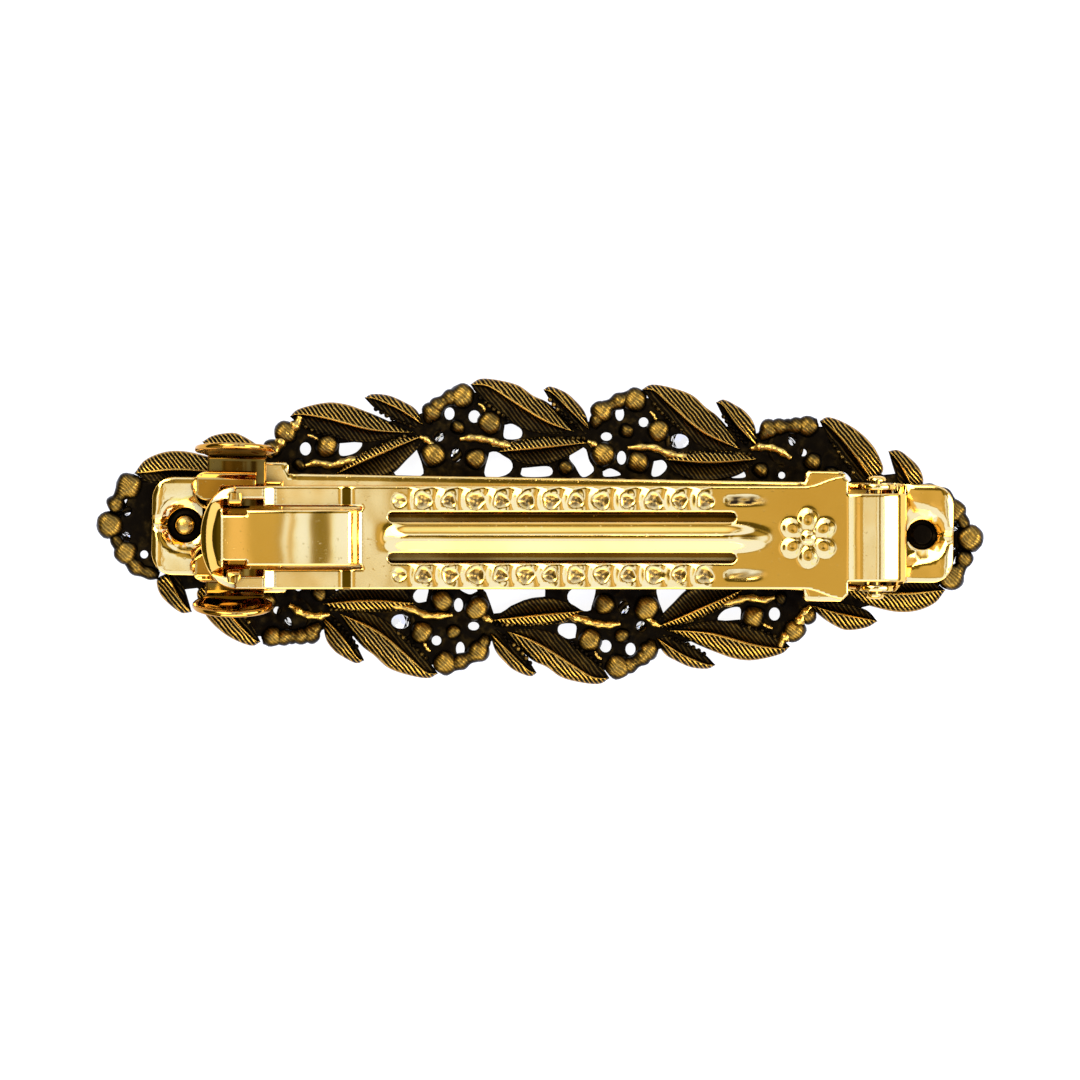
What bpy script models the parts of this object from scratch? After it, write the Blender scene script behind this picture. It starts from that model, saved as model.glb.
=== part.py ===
import math

import bpy
import bmesh
from mathutils import Matrix, Vector
from mathutils.geometry import delaunay_2d_cdt

# Lengths are in millimetres. X runs along the clip, Y across it, Z from the front to the back.
MM = 0.001
GAP = 0.3
BOW_RADIUS = 450.0
STATION = 3.0

# Casting
LEAF_RIB_BACK = 2.7
LEAF_EDGE_BACK = 2.0
LEAF_RIB_FRONT = 0.8
LEAF_EDGE_FRONT = 1.3
BERRY_BACK = 2.8
BERRY_FRONT = 0.4
BERRY_SIDES = 8
WEB_BACK = 2.1
WEB_FRONT = 1.6
PAD_BACK = 3.0
PAD_RADIUS = 2.6
POST_RADIUS = 0.95
LEFT_POST = (-35.4, 0.1)
RIGHT_POST = (38.1, 0.3)
LEFT_POST_TOP = 4.3
RIGHT_POST_TOP = 3.4
STONE_HEIGHT = 1.5
STONE_SIDES = 12
STONE_SEAT = STONE_HEIGHT + GAP
BEZEL_WALL = 0.5
BEZEL_FRONT = 0.6

# Each leaf: outline points, then its rib. The second half of the casting is this half turned about Z.
LEAVES = (
    (((-40.6, 5.2), (-39.6, 6.5), (-37.9, 7.3), (-36.1, 7.5), (-34.2, 7.2), (-32.0, 6.5), (-30.4, 5.2),
      (-32.5, 4.2), (-36.0, 4.0), (-39.0, 4.2)), ((-40.2, 5.3), (-36.0, 5.6), (-31.0, 5.1))),
    (((-33.9, 8.45), (-32.8, 9.1), (-31.0, 9.4), (-29.9, 9.1), (-28.4, 8.2), (-27.0, 7.3), (-27.4, 6.4),
      (-30.0, 6.6), (-32.7, 7.3)), ((-33.4, 8.4), (-30.0, 7.7), (-27.4, 6.9))),
    (((-25.2, 11.0), (-24.5, 11.8), (-23.0, 12.3), (-21.2, 12.6), (-19.5, 12.4), (-18.0, 11.9), (-16.2, 11.2),
      (-13.2, 10.2), (-12.4, 9.6), (-14.5, 9.2), (-17.5, 8.6), (-20.3, 8.9), (-22.6, 9.6), (-24.3, 10.4)),
     ((-24.9, 11.3), (-21.5, 11.1), (-17.0, 9.9), (-13.0, 9.7))),
    (((-17.8, 13.1), (-17.0, 13.5), (-15.4, 13.4), (-13.9, 12.8), (-12.6, 12.0), (-11.4, 10.8), (-12.2, 10.0),
      (-14.0, 10.4), (-16.4, 11.6)), ((-17.3, 13.1), (-14.2, 12.0), (-12.0, 10.6))),
    (((-20.6, 5.4), (-19.3, 6.8), (-17.0, 8.2), (-14.3, 9.3), (-11.6, 9.6), (-12.1, 8.2), (-13.5, 6.9),
      (-14.8, 5.6), (-16.5, 4.9), (-18.6, 4.9)), ((-20.2, 5.5), (-16.9, 7.2), (-11.9, 9.3))),
    (((-7.2, 14.6), (-6.2, 15.2), (-4.4, 15.1), (-2.4, 14.6), (-0.9, 13.6), (0.6, 12.9), (2.3, 11.4), (3.6, 10.0),
      (1.0, 9.7), (-1.4, 10.0), (-3.1, 10.9), (-4.6, 12.1), (-6.3, 13.4)),
     ((-6.8, 14.6), (-3.2, 13.2), (-0.6, 11.6), (3.0, 10.1))),
    (((0.1, 14.2), (0.8, 14.55), (2.3, 14.0), (3.3, 13.2), (4.3, 12.0), (5.0, 10.8), (4.6, 9.8), (3.4, 10.4),
      (1.6, 12.0)), ((0.5, 14.2), (2.6, 12.4), (4.6, 10.3))),
    (((-4.4, 7.9), (-3.0, 9.0), (0.0, 9.6), (3.0, 9.6), (5.0, 9.4), (4.3, 8.5), (2.6, 7.5), (0.8, 6.7),
      (-1.4, 6.6), (-3.2, 7.2)), ((-4.0, 8.0), (0.0, 8.4), (4.6, 9.0))),
    (((10.0, 14.4), (11.0, 14.9), (13.0, 14.6), (15.0, 13.9), (16.4, 12.7), (17.6, 11.8), (19.0, 10.2), (20.2, 8.6),
      (18.0, 8.2), (16.0, 8.7), (14.6, 9.7), (13.0, 10.9), (11.4, 12.6)),
     ((10.4, 14.5), (12.6, 13.1), (16.0, 10.3), (19.6, 8.6))),
    (((17.4, 13.2), (18.2, 13.5), (19.5, 12.9), (20.5, 12.2), (21.3, 11.0), (22.0, 9.6), (21.4, 8.4), (20.2, 9.0),
      (18.7, 10.8)), ((17.8, 13.1), (19.6, 10.9), (21.4, 9.0))),
    (((12.4, 7.4), (13.6, 8.2), (17.0, 8.5), (20.0, 8.4), (22.0, 7.9), (21.4, 6.9), (19.4, 5.8), (16.5, 5.2),
      (13.8, 5.8)), ((12.8, 7.4), (17.0, 7.2), (21.6, 7.6))),
    (((27.8, 11.5), (28.6, 11.9), (30.0, 11.5), (31.6, 10.6), (33.0, 9.3), (33.8, 8.0), (34.3, 6.6), (33.4, 5.4),
      (31.6, 5.4), (30.6, 6.9), (29.6, 8.4), (28.6, 9.9)), ((28.2, 11.5), (30.6, 9.0), (33.0, 5.8))),
    (((34.7, 8.6), (35.7, 8.7), (36.9, 7.9), (37.9, 6.8), (38.3, 5.4), (37.4, 4.6), (36.0, 4.9), (35.4, 6.4)),
     ((35.0, 8.4), (36.0, 7.0), (37.0, 5.0))),
)
# Berries: x, y, radius
BERRIES = (
    (-41.3, 3.7, 1.0), (-42.3, 2.1, 0.8), (-43.0, 0.0, 1.35), (-26.9, 7.9, 0.95), (-25.6, 9.5, 1.2),
    (-21.5, 8.2, 1.2), (-24.2, 6.3, 0.75), (-11.0, 11.8, 1.05), (-8.0, 13.4, 1.3), (-8.4, 10.3, 0.85),
    (-5.2, 10.8, 1.25), (-10.8, 7.5, 1.35), (-6.6, 7.2, 1.15), (6.0, 12.1, 1.15), (9.3, 13.3, 1.25),
    (8.5, 10.2, 0.85), (11.7, 10.3, 1.2), (6.2, 7.8, 1.3), (9.7, 7.1, 1.2), (7.6, 13.0, 0.75),
    (2.4, 6.4, 0.85), (22.8, 10.6, 1.0), (26.6, 10.9, 1.1), (24.6, 10.9, 0.75), (27.2, 7.4, 1.0),
    (22.0, 6.5, 0.9), (29.0, 6.2, 0.9), (41.2, 2.8, 1.05),
)
# Stems and webs: points, then width
STEMS = (
    (((-42.4, 0.0), (-41.6, 2.4), (-40.0, 4.6), (-37.0, 5.0)), 1.0),
    (((-31.5, 6.8), (-28.0, 6.6), (-26.4, 8.2), (-24.6, 10.4)), 1.1),
    (((-27.2, 6.6), (-24.2, 6.2), (-22.0, 6.5), (-18.0, 7.2)), 0.8),
    (((-23.0, 9.6), (-21.5, 8.2), (-20.6, 6.4)), 0.8),
    (((-12.0, 9.6), (-11.2, 11.8), (-8.0, 13.4), (-6.6, 14.2)), 1.0),
    (((-11.6, 9.4), (-9.6, 10.4), (-8.2, 10.2), (-5.2, 10.8), (-4.6, 12.2)), 0.8),
    (((-12.0, 9.4), (-10.8, 7.6), (-10.8, 5.0)), 0.9),
    (((-10.4, 8.4), (-8.4, 8.9), (-6.8, 9.3), (-5.2, 8.9), (-3.0, 8.4)), 0.75),
    (((-6.8, 9.2), (-6.6, 7.2), (-6.4, 5.0)), 0.9),
    (((-8.0, 13.2), (-8.4, 10.4)), 0.8),
    (((5.0, 9.8), (5.8, 12.0), (9.2, 13.4), (10.4, 14.2)), 1.0),
    (((5.0, 9.4), (6.2, 7.8), (6.8, 5.0)), 0.9),
    (((7.4, 11.2), (8.5, 10.2), (11.7, 10.3), (12.4, 11.6)), 0.8),
    (((5.4, 10.6), (7.4, 11.0), (9.2, 13.0)), 0.7),
    (((6.8, 8.6), (8.8, 8.6), (11.0, 8.6), (12.9, 7.8)), 0.75),
    (((8.6, 10.0), (9.0, 8.6), (9.7, 7.1), (9.8, 5.0)), 0.8),
    (((2.4, 7.6), (2.4, 5.0)), 0.9),
    (((-2.6, 7.2), (-2.4, 5.0)), 0.8),
    (((21.4, 8.6), (23.4, 8.7), (25.2, 7.6), (27.2, 7.4), (31.8, 6.4)), 0.8),
    (((21.6, 9.4), (22.8, 10.6), (24.6, 10.8), (26.6, 10.9), (28.6, 10.9)), 1.0),
    (((26.6, 10.8), (26.2, 9.2), (27.2, 7.4), (27.4, 5.0)), 0.8),
    (((21.6, 7.6), (22.0, 6.4), (23.0, 5.0)), 0.9),
    (((33.4, 6.0), (35.4, 5.4), (37.0, 4.9)), 1.0),
    (((37.4, 5.0), (39.6, 4.4), (41.2, 2.8), (42.6, 1.0)), 1.0),
    (((-37.0, 4.6), (-37.0, -4.6)), 3.4),
    (((-39.8, 4.2), (-39.6, -4.2)), 0.9),
)
SPINE_HALF_WIDTH = 5.1
SPINE_END = 33.0
SPINE_RAIL = 1.1
SPINE_RUNGS = (-31.5, -22.5, -13.5, -4.5, 4.5, 13.5, 22.5, 31.5)
SPINE_RUNG_WIDTH = 2.4
# Stones: x, y, radius. The first seven lie in the spine behind the clip.
STONES = (
    (-27.0, 0.0, 2.6), (-18.0, 0.0, 2.6), (-9.0, 0.0, 2.6), (0.0, 0.0, 2.8), (9.0, 0.0, 2.6), (18.0, 0.0, 2.6),
    (27.0, 0.0, 2.6), (-40.9, 0.0, 1.2), (40.9, 0.0, 1.2), (-9.5, 8.5, 1.2), (9.5, -8.5, 1.2),
    (-14.3, -9.3, 1.2), (14.3, 9.3, 1.2), (-24.4, -8.8, 1.1), (24.4, 8.8, 1.1),
)

# Base bar
SHEET = 0.6
TAB_BOTTOM = 3.3
BAR_RISE = 1.0
BAR_BOTTOM = TAB_BOTTOM + BAR_RISE
BAR_TOP = BAR_BOTTOM + SHEET
BAR_HALF_WIDTH = 5.4
TAB_HALF_WIDTH = 4.9
BAR_LEFT = -38.7
BAR_RIGHT = 41.2
TAB_CORNER = 2.2
LEFT_STEP = (-33.4, -32.2)
RIGHT_STEP = (35.4, 36.4)
LEFT_HOLE_RADIUS = 1.65
RIGHT_HOLE_RADIUS = 1.45
LUG_PROUD = 1.1
LUGS = ((-27.9, -25.1), (26.3, 30.3))
EAR_INNER = 4.7
EAR_OUTER = 5.3
EAR_RADIUS = 1.9
EAR_FOOT = (30.7, 35.3)

# Hinge
PIN_X = 33.2
PIN_Z = 8.3
PIN_RADIUS = 0.55
PIN_HOLE_RADIUS = PIN_RADIUS + GAP
PIN_HEAD_RADIUS = 0.95
PIN_HEAD_LENGTH = 0.5
HEEL_RADIUS = 3.1
HEEL_HALF_WIDTH = 4.35
HEEL_CURL_DEG = 40.0
CHEEK_INSET = 0.1
CHEEK_THICKNESS = 0.55
CHEEK_REACH = 1.6
CHEEK_CORNER = 1.2
CHEEK_TOE = 0.2
CHEEK_SHOULDER = 1.0
CHEEK_SETBACK = 0.4

# Clasp arm
ARM_BOTTOM = 10.1
ARM_TOP = ARM_BOTTOM + SHEET
ARM_SKEW_DEG = 0.9
ARM_TIP = -33.5
ARM_TIP_FULL = -30.0
TIP_FULLNESS = 0.9
ARM_HALF_WIDTH = 5.1
FLARE_START = 26.0
FLARE_END = 30.4
FLARE_HALF_WIDTH = 6.1
FLARE_CORNER = 0.5
FLARE_BLEND = 2.0
SLIT = (-15.0, 19.3)
SLIT_INNER = 1.55
SLIT_OUTER = 2.5
RIB = (-13.6, 20.2)
RIB_HALF_WIDTH = 1.35
RIB_LIFT = 0.3
BRIDGE = (-31.2, -17.6)
BRIDGE_HALF_WIDTH = 2.75
BRIDGE_SLIT = 0.3
BRIDGE_LIFT = 1.2
BRIDGE_RAMP = 1.2
WINDOW = (-31.0, -27.3)
WINDOW_OUTER = 3.8
HOOK_BAY = (-31.2, -28.9)
HOOK_BAY_INNER = 2.25

# Tension bar
TENSION_THICKNESS = 0.3
TENSION_TOP = ARM_BOTTOM - GAP
TENSION_HALF_WIDTH = 2.6
TENSION = (-27.0, 29.2)
TENSION_DIP = 0.2

# Latch
PLATE_BOTTOM = BAR_TOP + GAP
PLATE_THICKNESS = 0.5
PLATE = (-32.0, -25.6)
PLATE_HALF_WIDTH = 4.65
PRONG_TIP = -34.5
PRONG_CENTRE = 3.2
PRONG_HALF_WIDTH = 1.45
WING_FLOOR = PLATE_BOTTOM + PLATE_THICKNESS + GAP
WING_THICKNESS = 0.5
WING_X = -30.2
NECK_HALF_WIDTH = 2.9
STEM_X = -30.1
STEM_HALF_WIDTH = 0.7
STEM_CLEARANCE = 0.2
LIP_OVERHANG = 0.6
LIP_BOTTOM = ARM_TOP + GAP
LIP_THICKNESS = 0.5
DISC_RADIUS = 4.0
DISC_THICKNESS = 0.6
DISC_Y = 7.7
DISC_Z = 10.0
UPPER_LEAN_DEG = 6.0
LOWER_LEAN_DEG = 12.0


def bow(x):
    return x * x / (2.0 * BOW_RADIUS)


def circle(x, y, radius, sides):
    return [(x + radius * math.cos(2 * math.pi * i / sides), y + radius * math.sin(2 * math.pi * i / sides))
            for i in range(sides)]


def half_turn(points):
    return [(-x, -y) for x, y in points]


def strip(points, width):
    left = []
    right = []
    for i, (x, y) in enumerate(points):
        before = points[max(i - 1, 0)]
        after = points[min(i + 1, len(points) - 1)]
        dx, dy = after[0] - before[0], after[1] - before[1]
        size = math.hypot(dx, dy)
        nx, ny = -dy / size * width / 2, dx / size * width / 2
        left.append((x + nx, y + ny))
        right.append((x - nx, y - ny))
    return left + right[::-1]


def box(x0, x1, y0, y1):
    return [(x0, y0), (x1, y0), (x1, y1), (x0, y1)]


def inside(point, polygon):
    x, y = point
    found = False
    for (x0, y0), (x1, y1) in zip(polygon, polygon[1:] + polygon[:1]):
        if (y0 > y) != (y1 > y) and x < x0 + (y - y0) / (y1 - y0) * (x1 - x0):
            found = not found
    return found


def distance(point, points):
    best = 1e9
    for a, b in zip(points, points[1:]):
        start, end, spot = Vector(a), Vector(b), Vector(point)
        along = end - start
        t = max(0.0, min(1.0, (spot - start).dot(along) / along.length_squared))
        best = min(best, (spot - start - along * t).length)
    return best


def smooth(t):
    t = max(0.0, min(1.0, t))
    return t * t * (3 - 2 * t)


def plan(polygons, holes=(), lines=()):
    points = []
    edges = []
    faces = []
    for polygon in list(polygons) + list(holes):
        area = sum(a[0] * b[1] - b[0] * a[1] for a, b in zip(polygon, polygon[1:] + polygon[:1]))
        polygon = polygon if area > 0 else polygon[::-1]
        faces.append(list(range(len(points), len(points) + len(polygon))))
        points += polygon
    for line in lines:
        edges += [(len(points) + i, len(points) + i + 1) for i in range(len(line) - 1)]
        points += line
    spots, _, triangles, _, _, owners = delaunay_2d_cdt([Vector(p) for p in points], edges, faces, 0, 1e-4)
    kept = [tuple(t) for t, own in zip(triangles, owners) if own and max(own) < len(polygons)]
    return [tuple(p) for p in spots], kept


def slab(spots, triangles, place):
    used = sorted({i for triangle in triangles for i in triangle})
    index = {old: new for new, old in enumerate(used)}
    count = len(used)
    verts = [place(spots[i], 1) for i in used] + [place(spots[i], 0) for i in used]
    faces = []
    sides = {}
    for triangle in triangles:
        a, b, c = (index[i] for i in triangle)
        faces += [(a, b, c), (c + count, b + count, a + count)]
        for edge in ((a, b), (b, c), (c, a)):
            sides[edge] = True
    for a, b in sides:
        if (b, a) not in sides:
            faces.append((b, a, a + count, b + count))
    return verts, faces


def stations(x0, x1, half_width, step=STATION):
    count = max(2, round((x1 - x0) / step))
    return [[(x0 + (x1 - x0) * i / count, -half_width), (x0 + (x1 - x0) * i / count, half_width)]
            for i in range(count + 1)]


def material(name, colour, metallic, roughness):
    made = bpy.data.materials.new(name)
    made.use_nodes = True
    shader = made.node_tree.nodes["Principled BSDF"]
    shader.inputs["Base Color"].default_value = (*colour, 1.0)
    shader.inputs["Metallic"].default_value = metallic
    shader.inputs["Roughness"].default_value = roughness
    return made


def add(name, verts, faces, paint):
    mesh = bpy.data.meshes.new(name)
    mesh.from_pydata([(x * MM, y * MM, z * MM) for x, y, z in verts], [], faces)
    work = bmesh.new()
    work.from_mesh(mesh)
    bmesh.ops.remove_doubles(work, verts=work.verts, dist=1e-7)
    bmesh.ops.recalc_face_normals(work, faces=work.faces)
    work.to_mesh(mesh)
    work.free()
    mesh.materials.append(paint)
    made = bpy.data.objects.new(name, mesh)
    bpy.context.scene.collection.objects.link(made)
    return made


def join(target, others):
    for other in others:
        cut = target.modifiers.new("join", "BOOLEAN")
        cut.operation = "UNION"
        cut.solver = "EXACT"
        cut.object = other
        bpy.context.view_layer.update()
        graph = bpy.context.evaluated_depsgraph_get()
        merged = bpy.data.meshes.new_from_object(target.evaluated_get(graph))
        target.modifiers.clear()
        target.data = merged
        bpy.data.objects.remove(other)


def pivot(target, spot):
    move = Vector(spot) * MM
    target.data.transform(Matrix.Translation(-move))
    target.location = move


def build_casting(paint):
    shapes = []
    for turn in (False, True):
        for outline, rib in LEAVES:
            if turn:
                outline, rib = half_turn(outline), half_turn(rib)
            shapes.append(("leaf", list(outline), list(rib)))
        for x, y, radius in BERRIES:
            if turn:
                x, y = -x, -y
            shapes.append(("berry", circle(x, y, radius, BERRY_SIDES), (x, y, radius)))
        for points, width in STEMS:
            shapes.append(("web", strip(half_turn(points) if turn else points, width), None))
    for sign in (-1, 1):
        middle = sign * (SPINE_HALF_WIDTH - SPINE_RAIL / 2)
        rail = box(-SPINE_END, SPINE_END, middle - SPINE_RAIL / 2, middle + SPINE_RAIL / 2)
        shapes.append(("web", rail, None))
    for x in SPINE_RUNGS:
        rung = box(x - SPINE_RUNG_WIDTH / 2, x + SPINE_RUNG_WIDTH / 2, -SPINE_HALF_WIDTH + 0.2,
                   SPINE_HALF_WIDTH - 0.2)
        shapes.append(("web", rung, None))
    for x, y, radius in STONES:
        shapes.append(("bezel", circle(x, y, radius + GAP + BEZEL_WALL, STONE_SIDES), (x, y, radius)))
    pads = []
    for post, top in ((LEFT_POST, LEFT_POST_TOP), (RIGHT_POST, RIGHT_POST_TOP)):
        shapes.append(("pad", circle(*post, PAD_RADIUS, 16), post))
        pads.append((post, top))
    lines = [shape[2] for shape in shapes if shape[0] == "leaf"]
    for x, y, radius in STONES:
        for size in (radius + GAP, radius + GAP + 0.1):
            ring = circle(x, y, size, STONE_SIDES)
            lines.append(ring + ring[:1])
    for post, _ in pads:
        for size in (POST_RADIUS, POST_RADIUS + 0.12):
            ring = circle(*post, size, 14)
            lines.append(ring + ring[:1])
    lines += [[(x, y), (x + 1e-3, y)] for kind, _, (x, y, *_) in
              (shape for shape in shapes if shape[0] == "berry")]
    spots, triangles = plan([shape[1] for shape in shapes], (), lines)

    def heights(spot):
        back, front = WEB_BACK, WEB_FRONT
        for kind, outline, data in shapes:
            near = distance(spot, outline + outline[:1])
            if near > 1e-3 and not inside(spot, outline):
                continue
            if kind == "leaf":
                share = near / (near + distance(spot, data) + 1e-9)
                back = max(back, LEAF_EDGE_BACK + (LEAF_RIB_BACK - LEAF_EDGE_BACK) * share)
                front = min(front, LEAF_EDGE_FRONT + (LEAF_RIB_FRONT - LEAF_EDGE_FRONT) * share)
            elif kind == "berry":
                share = math.sqrt(max(0.0, min(1.0, near / data[2])))
                back = max(back, WEB_BACK + (BERRY_BACK - WEB_BACK) * share)
                front = min(front, WEB_FRONT + (BERRY_FRONT - WEB_FRONT) * share)
            elif kind == "bezel":
                front = min(front, BEZEL_FRONT)
                back = max(back, STONE_SEAT + SHEET)
            elif kind == "pad":
                back = max(back, PAD_BACK)
        for x, y, radius in STONES:
            if math.hypot(spot[0] - x, spot[1] - y) < radius + GAP + 0.05:
                front = STONE_SEAT
                back = max(back, STONE_SEAT + SHEET)
        for post, top in pads:
            if math.hypot(spot[0] - post[0], spot[1] - post[1]) < POST_RADIUS + 0.05:
                back = top
        return back, front

    known = {}

    def place(spot, side):
        if spot not in known:
            known[spot] = heights(spot)
        return spot[0], spot[1], known[spot][0 if side else 1] + bow(spot[0])

    return add("leaf_casting", *slab(spots, triangles, place), paint)


def build_stones(paint):
    for number, (x, y, radius) in enumerate(STONES, 1):
        sides = STONE_SIDES
        rings = ((0.0, 0.62), (0.55, 1.0), (STONE_HEIGHT, 0.55))
        verts = [(px, py, z + bow(x)) for z, share in rings for px, py in circle(x, y, radius * share, sides)]
        faces = [tuple(range(sides))[::-1], tuple(range(2 * sides, 3 * sides))]
        for ring in (0, 1):
            for i in range(sides):
                a, b = ring * sides + i, ring * sides + (i + 1) % sides
                faces.append((a, b, b + sides, a + sides))
        add(f"crystal_{number:02d}", verts, faces, paint)


def build_base(paint):
    corner = [(TAB_CORNER * (1 - math.cos(a)), TAB_CORNER * (1 - math.sin(a)))
              for a in (math.radians(15 * i) for i in range(7))]
    left_top = [(BAR_LEFT + dx, TAB_HALF_WIDTH - dy) for dx, dy in corner]
    right_top = [(BAR_RIGHT - dx, TAB_HALF_WIDTH - dy) for dx, dy in corner][::-1]
    upper = left_top + [(LEFT_STEP[0], TAB_HALF_WIDTH), (LEFT_STEP[1], BAR_HALF_WIDTH)]
    for x0, x1 in LUGS:
        wide = BAR_HALF_WIDTH + LUG_PROUD
        upper += [(x0, BAR_HALF_WIDTH), (x0, wide), (x1, wide), (x1, BAR_HALF_WIDTH)]
    upper += [(RIGHT_STEP[0], BAR_HALF_WIDTH), (RIGHT_STEP[1], TAB_HALF_WIDTH)] + right_top
    outline = upper + [(x, -y) for x, y in upper[::-1]]
    holes = [circle(*LEFT_POST, LEFT_HOLE_RADIUS, 24), circle(*RIGHT_POST, RIGHT_HOLE_RADIUS, 24)]
    lines = stations(LEFT_STEP[1], RIGHT_STEP[0], BAR_HALF_WIDTH + 3)
    for x in LEFT_STEP + RIGHT_STEP:
        lines.append([(x, -BAR_HALF_WIDTH - 3), (x, BAR_HALF_WIDTH + 3)])

    def place(spot, side):
        x, y = spot
        rise = min((x - LEFT_STEP[0]) / (LEFT_STEP[1] - LEFT_STEP[0]),
                   (RIGHT_STEP[1] - x) / (RIGHT_STEP[1] - RIGHT_STEP[0]))
        z = TAB_BOTTOM + BAR_RISE * max(0.0, min(1.0, rise)) + bow(x)
        return x, y, z + SHEET * side

    bar = add("base_bar", *slab(*plan([outline], holes, lines), place), paint)
    pin_z = PIN_Z + bow(PIN_X)
    arc = [(PIN_X + EAR_RADIUS * math.cos(a), pin_z + EAR_RADIUS * math.sin(a))
           for a in (math.radians(-10 + 20 * i) for i in range(11))]
    ear = [(x, BAR_BOTTOM + SHEET / 2 + bow(x)) for x in EAR_FOOT] + arc
    eye = circle(PIN_X, pin_z, PIN_HOLE_RADIUS, 20)
    ears = []
    for side in (-1, 1):
        def stand(spot, face, side=side):
            return spot[0], side * (EAR_OUTER if face else EAR_INNER), spot[1]
        ears.append(add("ear", *slab(*plan([ear], [eye]), stand), paint))
    join(bar, ears)
    return bar


def build_pin(paint):
    end = EAR_OUTER + GAP + PIN_HEAD_LENGTH
    profile = ((end, 0.0), (end, PIN_HEAD_RADIUS * 0.6), (end - 0.2, PIN_HEAD_RADIUS),
               (EAR_OUTER + GAP, PIN_HEAD_RADIUS), (EAR_OUTER + GAP, PIN_RADIUS))
    profile = profile + tuple((-y, r) for y, r in profile[::-1])
    sides = 20
    verts = []
    faces = []
    for y, radius in profile[1:-1]:
        verts += [(px, y, pz) for px, pz in circle(PIN_X, PIN_Z + bow(PIN_X), radius, sides)]
    rings = len(profile) - 2
    for ring in range(rings - 1):
        for i in range(sides):
            a, b = ring * sides + i, ring * sides + (i + 1) % sides
            faces.append((a, b, b + sides, a + sides))
    faces += [tuple(range(sides)), tuple(range((rings - 1) * sides, rings * sides))]
    return add("hinge_pin", verts, faces, paint)


def skewed(x, y):
    angle = math.radians(ARM_SKEW_DEG)
    dx = x - PIN_X
    return PIN_X + dx * math.cos(angle) - y * math.sin(angle), dx * math.sin(angle) + y * math.cos(angle)


def bridge_lift(x, y):
    if x > BRIDGE[1] or x < ARM_TIP:
        return 0.0
    across = smooth((WINDOW_OUTER - abs(y)) / (WINDOW_OUTER - BRIDGE_HALF_WIDTH)) if x < BRIDGE[0] else \
        float(abs(y) < BRIDGE_HALF_WIDTH + 1e-3)
    along = smooth((BRIDGE[1] - x) / BRIDGE_RAMP) * smooth((x - ARM_TIP) / 2.2)
    return BRIDGE_LIFT * across * along


def heel_path(s):
    """Centre line past the arm's flat: a quarter turn of the heel's own radius, then on round the pin."""
    top = ARM_BOTTOM + SHEET / 2 - PIN_Z
    outer = HEEL_RADIUS - SHEET / 2
    angle = math.radians(90.0 - s)
    return outer * math.cos(angle), (top if angle > 0 else outer) * math.sin(angle), angle


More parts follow.
